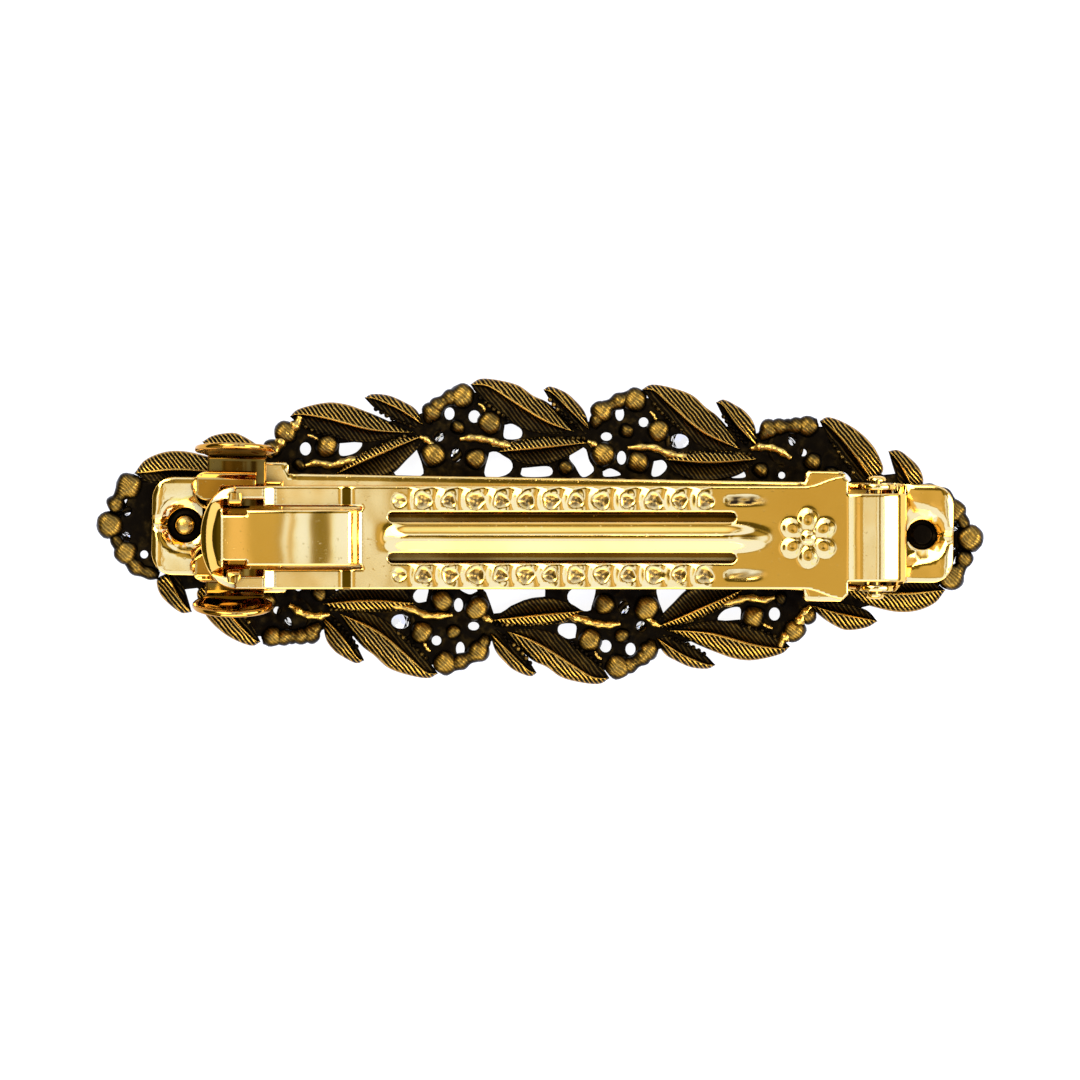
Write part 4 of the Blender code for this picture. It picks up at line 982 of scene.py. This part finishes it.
def barHeight(x, y, up):
    rise = min((x - bar.leftStep[0]) / (bar.leftStep[1] - bar.leftStep[0]),
               (bar.rightStep[1] - x) / (bar.rightStep[1] - bar.rightStep[0]))
    z = bar.tabBottom + bar.rise * ease(rise) + bow(x) + up
    for hx, hy, r in bar.holes:  # the hole's edge is drawn down a little
        z -= bar.drawn * math.exp(-max(0.0, math.hypot(x - hx, y - hy) - r) / 0.35)
        # a dish round the hole, open towards the middle of the clip
        inward = (hx - x) if hx > 0 else (x - hx)
        bowl = math.hypot(min(0.0, inward), (y - hy) * (1.0 - 0.12 * max(0.0, inward)))
        if abs(x) > bar.tabFrom:
            z -= bar.dish * ease((bar.dishRadius - bowl) / 0.9)
    if abs(x) > bar.tabFrom:
        z -= bar.endRoll * ease((0.7 - abs(x - (bar.left if x < 0 else bar.right))) / 0.7)
    return x, y, z


def buildBar():
    holes = [ring(x, y, r, r, 40) for x, y, r in bar.holes]
    lines = [[(x + d, -7.0), (x + d, 7.0)] for x in bar.leftStep + bar.rightStep for d in (-0.15, 0.0, 0.15)]
    pieces = [sheetPiece("barSheet", barPlan(), holes, barHeight, platePaint, bar.sheet, edge=0.16, sharp=40,
                         lines=lines)]
    foot = bar.tabBottom + bar.rise + bar.sheet / 2
    ear = [(x, foot + bow(x)) for x in bar.earFoot]
    ear += [(hinge.x + bar.earRadius * math.cos(a), pinZ + bar.earRadius * math.sin(a))
            for a in arcAngles(-10, 190, 24)]
    eye = ring(hinge.x, pinZ, hinge.hole, None, 28)
    for side in (-1, 1):
        def stand(x, z, up, side=side):
            return x, side * (bar.earInner + up), z
        thick = bar.earOuter - bar.earInner
        pieces.append(sheetPiece("ear", ear, [eye], stand, platePaint, thick, edge=0.14, sharp=40))
    strip = joinPieces("clipBar", pieces)
    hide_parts("base_bar")
    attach(strip, "base")
    print("bar ready")


def buildPin():
    near = bar.earOuter + hinge.gap
    far = near + hinge.headLength
    half = [(hinge.pin, 0.0), (hinge.pin, near), (hinge.head, near), (hinge.head, far - 0.3),
            (hinge.head * 0.9, far - 0.13), (hinge.head * 0.6, far - 0.02), (0.0, far)]
    verts, faces = lathe([(r, -z) for r, z in half[::-1]] + half[1:], 32)
    pin = meshPiece("hingePin", [(x + hinge.x, z, y + pinZ) for x, y, z in verts], faces, platePaint, 40)
    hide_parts("hinge_pin")
    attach(pin, "base")
    print("pin ready")


buildBar()
buildPin()

armForm = {
    "bottom": 10.1, "sheet": 0.6, "skew": 0.9, "tip": -33.5, "tipFull": -30.0, "half": 5.1,
    "flare": (26.0, 30.4), "flareHalf": 6.1, "flareCorner": 0.5, "barrelSlope": 1.3, "slit": (-15.0, 19.3),
    "slitInner": 1.55, "slitOuter": 2.5, "rib": (-13.6, 20.2), "ribHalf": 1.6, "ribLift": 0.46,
    "bridge": (-31.2, -17.6), "bridgeHalf": 2.75, "bridgeSlit": 0.3, "bridgeLift": 1.2, "bridgeRamp": 1.2,
    "windowEnd": -27.3, "windowOuter": 3.8, "hookBay": (-31.2, -28.9), "hookBayInner": 2.25, "dimples": 12,
    "dimpleFrom": -11.6, "dimplePitch": 2.52, "dimpleY": 3.65, "dimpleRadius": 0.52, "dimpleDepth": 0.5,
    "pillow": 0.22, "crown": 0.5, "crownAt": -24.6, "railDip": 0.45, "rosette": 26.45, "petals": 6,
    "petalRadius": 0.95, "petalAt": 1.75, "petalLift": 0.18, "railDipSpan": (-27.2, -18.4), "tipRoll": 0.55,
    "leadAt": -14.0, "leadDepth": 0.28, "dentSpan": (18.0, 22.8), "dentDepth": 0.07, "heart": 0.24,
    "cheek": 0.55,
}
arm = SimpleNamespace(**armForm)
lastPit = arm.dimpleFrom + (arm.dimples - 1) * arm.dimplePitch


def skewed(x, y):
    # the arm sits a little askew on its pin
    a = math.radians(arm.skew)
    dx = x - hinge.x
    return hinge.x + dx * math.cos(a) - y * math.sin(a), dx * math.sin(a) + y * math.cos(a)


def heelPath(s):
    top = arm.bottom + arm.sheet / 2 - hinge.z
    outer = hinge.heel - arm.sheet / 2
    a = math.radians(90.0 - s * 90.0 / hinge.arc)
    return outer * math.cos(a), (top if a > 0 else outer) * math.sin(a), a


def bridgeLift(x, y):
    if x > arm.bridge[1] or x < arm.tip:
        return 0.0
    if x < arm.bridge[0]:
        across = ease((arm.windowOuter - abs(y)) / (arm.windowOuter - arm.bridgeHalf))
    else:
        across = float(abs(y) < arm.bridgeHalf + 1e-3)
    return arm.bridgeLift * across * ease((arm.bridge[1] - x) / arm.bridgeRamp) * ease((x - arm.tip) / 2.2)


def pitAt(x, y):
    # offset from the middle of the nearest pit, and that pit's own size
    number = round((x - arm.dimpleFrom) / arm.dimplePitch)
    twist = 2.3 * number + (1.7 if y > 0 else 0.0)
    dx = x - arm.dimpleFrom - number * arm.dimplePitch - 0.1 - 0.10 * math.sin(3.1 * twist)
    dy = abs(y) - arm.dimpleY - 0.07 * math.cos(2.7 * twist)
    return dx, dy, 1.0 + 0.14 * math.sin(4.3 * twist) + 0.12 * math.sin(3 * math.atan2(dy, dx) + twist)


def rosetteLift(dx, y):
    best = 0.0
    for k in range(arm.petals):
        a = 2 * math.pi * k / arm.petals + math.pi / 6
        px, py = dx - arm.petalAt * math.cos(a), y - arm.petalAt * math.sin(a)
        along, side = px * math.cos(a) + py * math.sin(a), -px * math.sin(a) + py * math.cos(a)
        far = math.hypot(along / 1.02, side / 0.86)
        best = max(best, math.exp(-(far / arm.petalRadius) ** 4) * (1.0 - 0.3 * math.exp(-(far / 0.4) ** 2)))
    return arm.petalLift * best + arm.heart * math.exp(-(math.hypot(dx, y) / 0.6) ** 4)


def armRelief(x, y):
    z = bridgeLift(x, y)
    if z > 0.0:
        z += arm.crown * (1.0 - ((x - arm.crownAt) / 6.4) ** 2) * z / arm.bridgeLift
    # the side rails dip beside the bridge
    dipFrom, dipTo = arm.railDipSpan
    z -= arm.railDip * ease(x - dipFrom) * ease((dipTo - x) / 1.4) * ease((abs(y) - 2.9) / 0.15)
    if x < arm.tipFull:  # the tip is rolled down all round
        far = math.hypot((x - arm.tipFull) / (arm.tip - arm.tipFull), y / arm.half)
        z -= arm.tipRoll * ease((far - 0.6) / 0.4)
    # round rib between the slits, drawn out to a tail at the hinge end
    narrow = arm.ribHalf * (1.0 - 0.25 * ease((x - arm.rib[1]) / 3.2))
    ridge = 0.5 + 0.5 * math.cos(math.pi * min(1.0, abs(y) / narrow))
    z += arm.ribLift * ridge * ease((x - arm.rib[0] + 2.5) / 3.0) * ease((arm.rib[1] + 3.4 - x) / 5.6)
    row = abs(y) - arm.dimpleY
    if arm.dimpleFrom - 1.4 < x < lastPit + 1.4 and abs(row) < 1.5:
        step = arm.dimplePitch
        dx = (x - arm.dimpleFrom + step / 2) % step - step / 2
        pillow = (0.5 + 0.5 * math.cos(2 * math.pi * (dx + 0.25) / step)) * math.cos(math.pi * row / 3.0)
        z += arm.pillow * pillow * ease((x - arm.dimpleFrom + 1.4) / 0.4) * ease((lastPit + 1.4 - x) / 0.4)
        px, py, size = pitAt(x, y)
        z -= arm.dimpleDepth * math.exp(-(math.hypot(px, py) / (arm.dimpleRadius * size)) ** 3)
    # one drop-shaped dent leads each row of pits and a long one follows it
    dx = x - arm.leadAt
    lead = math.hypot(dx / (0.45 + 0.25 * max(-1.0, min(1.0, dx))), row / 0.45)
    z -= arm.leadDepth * math.exp(-lead ** 4)
    dentFrom, dentTo = arm.dentSpan
    dent = math.exp(-((row - 0.05) / 0.42) ** 4) * ease((x - dentFrom) / 0.8) * ease((dentTo - x) / 2.4)
    z -= arm.dentDepth * dent * (1.0 + 0.3 * math.sin(2.1 * x + 7.0 * row))
    dx = x - arm.rosette
    if abs(dx) < 3.6 and abs(y) < 3.6:
        z += rosetteLift(dx, y)
    return z


def armPitShade(x, y):
    # painted shade in the pits, with the dents and the leading dent painted darker too, more on the upper
    # side
    row = abs(y) - arm.dimpleY
    pit = 0.0
    if arm.dimpleFrom - 1 < x < lastPit + 1:
        px, py, size = pitAt(x, y)
        pit = 1.25 * math.exp(-(math.hypot(px, py) / (0.6 * size)) ** 4)
    pit *= 0.72 + 0.28 * math.sin(11.0 * x + 5.0 * y) * math.sin(8.0 * y - 6.0 * x)
    streak = 0.5 + 0.5 * math.sin(2.3 * x + 9.0 * y) * math.sin(1.7 * x - 12.0 * y)
    dentFrom, dentTo = arm.dentSpan
    dent = math.exp(-(row / 0.4) ** 4) * ease((x - dentFrom - 0.2) / 0.8) * ease((dentTo - x) / 2.0) * streak
    lead = math.exp(-(math.hypot(x - arm.leadAt - 0.1, row) / 0.45) ** 4)
    return min(1.0, pit * (0.8 + 0.2 * streak) + (1.9 if y > 0 else 0.9) * dent + 0.6 * lead)


def armHeight(x, y, up):
    if x <= hinge.x:
        z = arm.bottom + up + bow(x) + armRelief(x, y)
        if x > arm.flare[1]:  # the barrel is flat on top, past a short slope
            z += (bow(hinge.x) - bow(x)) * min(1.0, (x - arm.flare[1]) / arm.barrelSlope)
        return (*skewed(x, y), z)
    dx, dz, a = heelPath(x - hinge.x)
    off = up - arm.sheet / 2
    return (*skewed(hinge.x + dx + off * math.cos(a), y), pinZ + dz + off * math.sin(a))


def armPlan():
    upper = []
    for i in range(14, -1, -1):
        a = math.radians(90 - 90 * i / 14)
        upper.append((arm.tipFull - (arm.tipFull - arm.tip) * math.cos(a), arm.half * math.sin(a) ** 0.95))
    flareFrom, flareTo = arm.flare
    upper.append((flareFrom, arm.half))
    for i in range(1, 9):
        upper.append((flareFrom + (flareTo - arm.flareCorner - flareFrom) * i / 8,
                      arm.half + (arm.flareHalf - arm.half) * ease(i / 8)))
    curlEnd = hinge.x + (90.0 + hinge.curl) / 90.0 * hinge.arc  # the heel's curl, laid out flat
    upper += [(flareTo, arm.flareHalf - arm.flareCorner), (flareTo, hinge.heelHalf),
              (curlEnd, hinge.heelHalf)]
    outline = upper + [(x, -y) for x, y in upper[::-1] if y > 1e-6]
    outline = [p for i, p in enumerate(outline) if math.dist(p, outline[i - 1]) > 1e-6]
    mid, r = (arm.slitInner + arm.slitOuter) / 2, (arm.slitOuter - arm.slitInner) / 2
    slit = []
    for x, first, last in ((arm.slit[1] - r, -90, 90), (arm.slit[0] + r, 90, 270)):
        slit += [(x + r * math.cos(a), mid + r * math.sin(a)) for a in arcAngles(first, last, 10)]
    side, cut, end = arm.bridgeHalf, arm.bridgeHalf + arm.bridgeSlit, arm.bridge[1]
    bay = [(end, side), (end, cut), (arm.windowEnd, cut), (arm.windowEnd, arm.windowOuter),
           (arm.hookBay[0], arm.windowOuter), (arm.hookBay[0], arm.hookBayInner),
           (arm.hookBay[1], arm.hookBayInner), (arm.hookBay[1], side)]
    return outline, [[(x, side * y) for x, y in hole] for side in (-1, 1) for hole in (slit, bay)]


def buildArm():
    pieces = [sheetPiece("armSheet", *armPlan(), armHeight, platePaint, arm.sheet, edge=0.13, pitch=0.2,
                         sharp=50, pitShade=armPitShade)]
    outer = [heelPath(hinge.arc / 9 * i)[:2] for i in range(int((90 + hinge.curl) / 10) + 1)]
    inner = arm.flare[1] + 0.4 - hinge.x
    cheek = outer + [(0.2, -1.6), (-1.2, -1.2), (-1.6, 0.0), (inner, 1.0), (inner, outer[0][1])]
    profile = [(hinge.x + dx, pinZ + dz) for dx, dz in cheek]
    eye = ring(hinge.x, pinZ, hinge.hole, None, 28)
    for side in (-1, 1):
        def stand(x, z, up, side=side):
            return (*skewed(x, side * (hinge.heelHalf - 0.1 - up)), z)
        pieces.append(sheetPiece("cheek", profile, [eye], stand, platePaint, arm.cheek, edge=0.1, sharp=40))
    cover = joinPieces("claspArm", pieces)
    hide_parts("clasp_arm")
    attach(cover, "arm")
    print("arm ready")


buildArm()

tensionForm = {
    "thick": 0.3, "top": 9.8, "half": 2.6, "span": (-27.0, 29.2), "dip": 0.2, "corner": 1.2,
}


def buildTension():
    t = SimpleNamespace(**tensionForm)
    x0, x1 = t.span
    middle, reach = (x0 + x1) / 2, (x1 - x0) / 2
    side = t.half - t.corner
    plan = [(x0, -side), (x0 + t.corner, -t.half), (x1 - t.corner, -t.half), (x1, -side),
            (x1, side), (x1 - t.corner, t.half), (x0 + t.corner, t.half), (x0, side)]

    def lay(x, y, up):
        dip = t.dip * (1 - ((x - middle) / reach) ** 2)
        return (*skewed(x, y), t.top - t.thick + up - dip + bow(x))

    # painted half shade: the strip under the arm takes the darker plating
    strip = sheetPiece("tensionStrip", plan, [], lay, halfShadePaint, t.thick, edge=0.1, pitch=0.7, sharp=40)
    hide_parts("tension_bar")
    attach(strip, "arm")
    print("tension strip ready")


buildTension()

latchForm = {
    "plateBottom": 5.2, "plateThick": 0.5, "plate": (-32.0, -25.6), "plateHalf": 4.65, "prongTip": -34.5,
    "prongAt": 3.2, "prongHalf": 1.45, "floor": 6.0, "thick": 0.5, "x": -30.2, "neckHalf": 2.9,
    "stemX": -30.1, "stemHalf": 0.7, "stemGap": 0.2, "lip": 0.6, "lipBottom": 11.0, "lipThick": 0.5,
    "disc": 4.0, "discThick": 0.6, "discY": 7.7, "discZ": 10.0, "prongLift": 7.25, "leanUpper": 6.0,
    "leanLower": 12.0, "rootX": (-31.6, -31.9), "trayFrom": -29.0, "tipTray": -33.0, "raisedAt": 4.05,
    "raisedThick": 0.4, "raisedThin": 3.95, "raisedReach": ((1, -28.2), (-1, -31.3)), "riserX": -33.7,
    "riserSpan": (3.1, 4.4), "riserThick": 0.5, "neckRise": 1.15, "dish": 0.34,
}
latch = SimpleNamespace(**latchForm)


def ribbon(path, halves, thick):
    # a strip bent along path (y, z), with its half width in x at every point
    path = np.array(path, float)
    ahead = np.gradient(path, axis=0)
    ahead /= np.linalg.norm(ahead, axis=1, keepdims=True)
    normal = np.stack([-ahead[:, 1], ahead[:, 0]], axis=1)
    h, rim = thick / 2, thick * 0.36
    corner = [(rim, h), (rim * 0.3, h - rim * 0.3), (0.0, h - rim)]
    edge = corner + [(u, -v) for u, v in corner[::-1]]
    verts = []
    for p, n, w in zip(path, normal, halves):
        loop = [(u - w, v) for u, v in edge] + [(0.0, -h)] + [(w - u, v) for u, v in edge[::-1]] + [(0.0, h)]
        verts += [(x, *(p + n * v)) for x, v in loop]
    return verts, skin(len(path), len(loop))


def roundedRun(points, radius, steps=6):
    # corners of a bent strip turned into arcs
    points = [np.array(q, float) for q in points]
    found = points[:1]
    for a, b, c in zip(points, points[1:], points[2:]):
        u, v = a - b, c - b
        cut = min(radius, np.linalg.norm(u) * 0.48, np.linalg.norm(v) * 0.48)
        p, q = b + u / np.linalg.norm(u) * cut, b + v / np.linalg.norm(v) * cut
        found += [(1 - t) ** 2 * p + 2 * t * (1 - t) * b + t * t * q for t in np.linspace(0, 1, steps)]
    return found + points[-1:]


def padProfile():
    # dished round pad with a rolled rim
    wide, t = latch.disc, latch.discThick / 2
    inner = [(r, -t + latch.dish * (1 - ease((r - 0.35 * wide) / (0.5 * wide))))
             for r in np.linspace(0.0, wide - 0.35, 18)]
    rim = [(wide - 0.12, 0.03 - t), (wide - 0.03, 0.13 - t), (wide, 0.0), (wide - 0.03, t - 0.13),
           (wide - 0.12, t - 0.03)]
    return inner + rim + [(r, t - 0.06 + 0.06 * ease(r / wide)) for r in np.linspace(wide - 0.35, 0.0, 10)]


def buildWing(label, node, body, side):
    lift = bow(latch.x)
    stripY = abs(skewed(latch.stemX, side * arm.windowOuter)[1])
    stemMid = stripY - latch.stemGap - latch.thick / 2
    floor = latch.floor + latch.thick / 2 + lift
    lean = math.radians(latch.leanUpper if side > 0 else latch.leanLower)
    discZ = latch.discZ + lift
    joinZ = floor + latch.neckRise
    joinY = latch.discY + (joinZ - discZ) * math.tan(lean)

    def strip(name, corners, radius, x, thick, paint, width):
        path = roundedRun(corners, radius)
        halves = [width(s) for s in np.linspace(0, 1, len(path))]
        verts, faces = ribbon([(side * y, z) for y, z in path], halves, thick)
        return meshPiece(name, shift(verts, x, 0.0, 0.0), faces, paint, 50)

    # neck from the foot out to the pad
    corners = [(stemMid - latch.thick / 2 + 0.05, floor), (joinY - 0.14, floor), (joinY - 0.08, joinZ + 0.4)]
    neck = strip("neck", corners, 0.8, latch.x, latch.thick, shadePaint,
                 lambda s: latch.neckHalf + 0.25 * ease((s - 0.5) * 2))
    # stem and hook, painted in half shade
    top = latch.lipBottom + latch.lipThick / 2 + lift
    corners = [(stemMid, floor), (stemMid, top), (stripY + latch.lip, top)]
    hook = strip("hook", corners, 0.45, latch.stemX, latch.lipThick - 0.02, halfShadePaint,
                 lambda s: latch.stemHalf * (1.0 if s < 1.0 else 0.85))
    verts, faces = lathe(padProfile(), 72)
    turned = Matrix.Rotation(-side * lean, 3, "X")
    placed = [turned @ Vector((x, side * z, y)) for x, y, z in verts]
    # the pad is painted in half shade too
    pad = meshPiece("pad", shift(placed, latch.x, side * latch.discY, discZ), faces, halfShadePaint, 50)
    wing = joinPieces(label, [neck, hook, pad])
    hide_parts(node)
    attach(wing, body)


def prongEnd(y):
    r = latch.prongHalf
    return [(latch.prongTip + r * (1 - math.cos(a)), y + r * math.sin(a)) for a in arcAngles(-90, 90, 18)]


def latchHeight(x, y, up):
    # each prong is a shallow tray with a raised rim
    tray = 0.0
    if x < latch.trayFrom and up > 0.2:
        far = math.hypot(max(0.0, latch.prongTip + latch.prongHalf - x), abs(y) - latch.prongAt)
        tray = 0.22 * ease((latch.prongHalf - 0.3 - far) / 0.35)
    return x, y, latch.plateBottom + up + bow(latch.x) - tray


def raisedHeight(x, y, up):
    # the raised prongs stand over the wings' necks
    far = latch.raisedAt + latch.prongHalf - abs(y)
    if x < latch.tipTray:
        far = min(far, abs(x - latch.prongTip) + 0.25)
    tray = 0.2 * ease((far - 0.25) / 0.4) if up > 0.2 else 0.0
    return x, y, latch.prongLift + up - tray + bow(latch.x)


def buildLatchPlate():
    x0, x1 = latch.plate
    upper = [(x0, latch.prongAt - latch.prongHalf)] + prongEnd(latch.prongAt) + [(x1, latch.plateHalf)]
    outline = mirrored(upper)
    # painted half shade on the latch plate, its prongs and its risers
    parts = [sheetPiece("latchPlate", outline, [], latchHeight, halfShadePaint, latch.plateThick, edge=0.14,
                        pitch=0.3, sharp=50)]
    at, r, thin = latch.raisedAt, latch.prongHalf, latch.raisedThin
    y0, y1 = latch.riserSpan
    low, high = latch.plateBottom + 0.3, latch.prongLift + 0.1
    for side, reach in latch.raisedReach:
        loop = prongEnd(at) + [(reach, at + r), (reach, thin)]
        loop += [(latch.rootX[0], thin), (latch.rootX[1], at - r)]
        parts.append(sheetPiece("prong", [(x, side * y) for x, y in loop], [], raisedHeight, halfShadePaint,
                                latch.raisedThick, edge=0.12, pitch=0.25, sharp=50))

        def stand(y, z, up, side=side):
            return latch.riserX + up, side * y, z + bow(latch.x)
        parts.append(sheetPiece("riser", [(y0, low), (y1, low), (y1, high), (y0, high)], [], stand, halfShadePaint,
                                latch.riserThick, edge=0.1, pitch=0.4, sharp=50))
    plate = joinPieces("latchPlate", parts)
    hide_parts("latch_plate")
    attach(plate, "base")


buildLatchPlate()
buildWing("wingUpper", "latch_wing_upper", "wing_upper", 1)
buildWing("wingLower", "latch_wing_lower", "wing_lower", -1)
print("latch ready")

studio = {
    "distance": 0.62, "tilt": 0.7, "roll": 0.9, "frame": 0.108, "aim": (0.0, -0.00085, 0.003), "floor": 0.16,
    "floorGlow": 0.93, "sky": 0.7,
    "bands": (
        (-1.0, 0.15), (-0.5, 0.15), (-0.4, 5.0), (-0.3, 5.0), (-0.24, 0.4), (-0.2, 1.5), (-0.14, 1.5),
        (-0.1, 0.95), (-0.05, 1.0), (0.0, 1.0), (0.03, 0.8), (0.045, 0.9), (0.049, 7.5), (0.058, 7.9),
        (0.063, 1.5), (0.072, 1.35), (0.078, 0.65), (0.088, 1.2), (0.105, 5.5), (0.15, 5.5), (0.165, 0.4),
        (0.24, 0.4), (0.27, 5.0), (0.4, 4.5), (0.46, 0.2), (1.0, 0.15),
    ),
    "rows": (
        (-1.0, 0.1), (-0.6, 0.1), (-0.5, 6.0), (-0.2, 7.0), (-0.15, 0.5), (-0.1, 0.9), (-0.03, 1.0),
        (0.03, 0.95), (0.08, 0.16), (0.34, 0.1), (0.4, 5.0), (0.5, 4.5), (0.58, 0.1), (1.0, 0.1),
    ),
    "cap": 7.0,
    "lamps": (
        ("softTop", (-0.28, 0.3, 0.62), (0.35, 0.5), 4.5),
        ("softRight", (0.55, 0.05, 0.45), (0.2, 0.6), 5.0), ("softLow", (0.05, -0.6, 0.5), (1.0, 0.45), 6.5),
    ),
}
room = SimpleNamespace(**studio)


def buildFloor(reach=3.0):
    mesh = bpy.data.meshes.new("floor")
    corners = [(-reach, -reach, 0), (reach, -reach, 0), (reach, reach, 0), (-reach, reach, 0)]
    mesh.from_pydata(corners, [], [(0, 1, 2, 3)])
    floor = bpy.data.objects.new("floor", mesh)
    floor.location.z = -0.0002
    scene.collection.objects.link(floor)
    paper, tree, shader = newMaterial("paper")
    fill(shader.inputs, {"Base Color": (room.floor, room.floor, room.floor), "Roughness": 0.9})
    path = tree.nodes.new("ShaderNodeLightPath").outputs
    seen = Wire(path["Is Camera Ray"]) + path["Is Glossy Ray"]
    seen = seen.step("ADD", path["Is Transmission Ray"], clamp=True)
    glow = addNode(tree, "ShaderNodeEmission", {"Strength": seen * room.floorGlow})
    both = addNode(tree, "ShaderNodeAddShader", {0: shader.outputs[0], 1: glow.outputs[0]})
    fill(tree.nodes["out"].inputs, {0: both.outputs[0]})
    mesh.materials.append(paper)


def shadeRamp(tree, value, stops, full=8):
    made = addNode(tree, "ShaderNodeValToRGB", {0: value * 0.5 + 0.5})
    ramp = made.color_ramp.elements
    for place, shade in stops:
        ramp.new(0.5 + place / 2).color = (shade / full, shade / full, shade / full, 1)
    ramp.remove(ramp[0])
    ramp.remove(ramp[-1])
    return Wire(made.outputs[0]) * full


def buildWorld():
    world = bpy.data.worlds.new("studio")
    scene.world = world
    world.use_nodes = True
    tree = world.node_tree
    tree.nodes.clear()
    path = tree.nodes.new("ShaderNodeLightPath").outputs
    spot = tree.nodes.new("ShaderNodeTexCoord").outputs["Generated"]
    x, y, z = (Wire(part) for part in addNode(tree, "ShaderNodeSeparateXYZ", {0: spot}).outputs)
    # what the metal mirrors: a dim patch overhead, pale bands along x and long bright panels along y
    tone = shadeRamp(tree, x, room.bands) * shadeRamp(tree, y, room.rows) * room.sky
    level = (z.band(0.05, 0.65) * tone.step("MINIMUM", room.cap)).step("MAXIMUM", 0.05)
    # the brighter the panel the cooler it is, so that gold mirrors it as a pale glint
    tint = addNode(tree, "ShaderNodeCombineColor", {
        0: level.step("MINIMUM", 1.1), 1: (level * 0.9).step("MINIMUM", 1.6),
        2: (level.step("POWER", 1.9) * 0.78).step("MINIMUM", 4.6)}).outputs[0]
    shown = Wire(path["Is Camera Ray"]).mix(tint, (1.0, 1.0, 1.0))
    sky = addNode(tree, "ShaderNodeBackground", {"Color": shown})
    addNode(tree, "ShaderNodeOutputWorld", {0: sky.outputs[0]})


def buildLamps():
    for label, at, size, power in room.lamps:
        lamp = bpy.data.lights.new(label, "AREA")
        lamp.shape = "RECTANGLE"
        lamp.size, lamp.size_y = size
        lamp.energy = power
        holder = bpy.data.objects.new(label, lamp)
        holder.location = at
        holder.rotation_euler = (-Vector(at)).to_track_quat("-Z", "Y").to_euler()
        scene.collection.objects.link(holder)


def buildCamera():
    lens = bpy.data.cameras.new("camera")
    lens.sensor_width = 36.0
    lens.lens = 36.0 * room.distance / room.frame
    lens.clip_start, lens.clip_end = 0.05, 20.0
    eye = bpy.data.objects.new("camera", lens)
    roll, tilt = math.radians(room.roll), math.radians(room.tilt)
    right = Vector((math.cos(roll), math.sin(roll), 0.0))
    up = Vector((-math.sin(roll), math.cos(roll), 0.0))
    away = (Vector((0, 0, 1)) * math.cos(tilt) + up * math.sin(tilt)).normalized()
    up = away.cross(right)
    aim = Vector((0, 0, room.aim[2])) + right * room.aim[0] + up * room.aim[1]
    spot = aim + away * room.distance
    eye.matrix_world = Matrix(((right.x, up.x, away.x, spot.x), (right.y, up.y, away.y, spot.y),
                               (right.z, up.z, away.z, spot.z), (0, 0, 0, 1)))
    scene.collection.objects.link(eye)
    scene.camera = eye


buildFloor()
buildWorld()
buildLamps()
buildCamera()
print("studio ready")
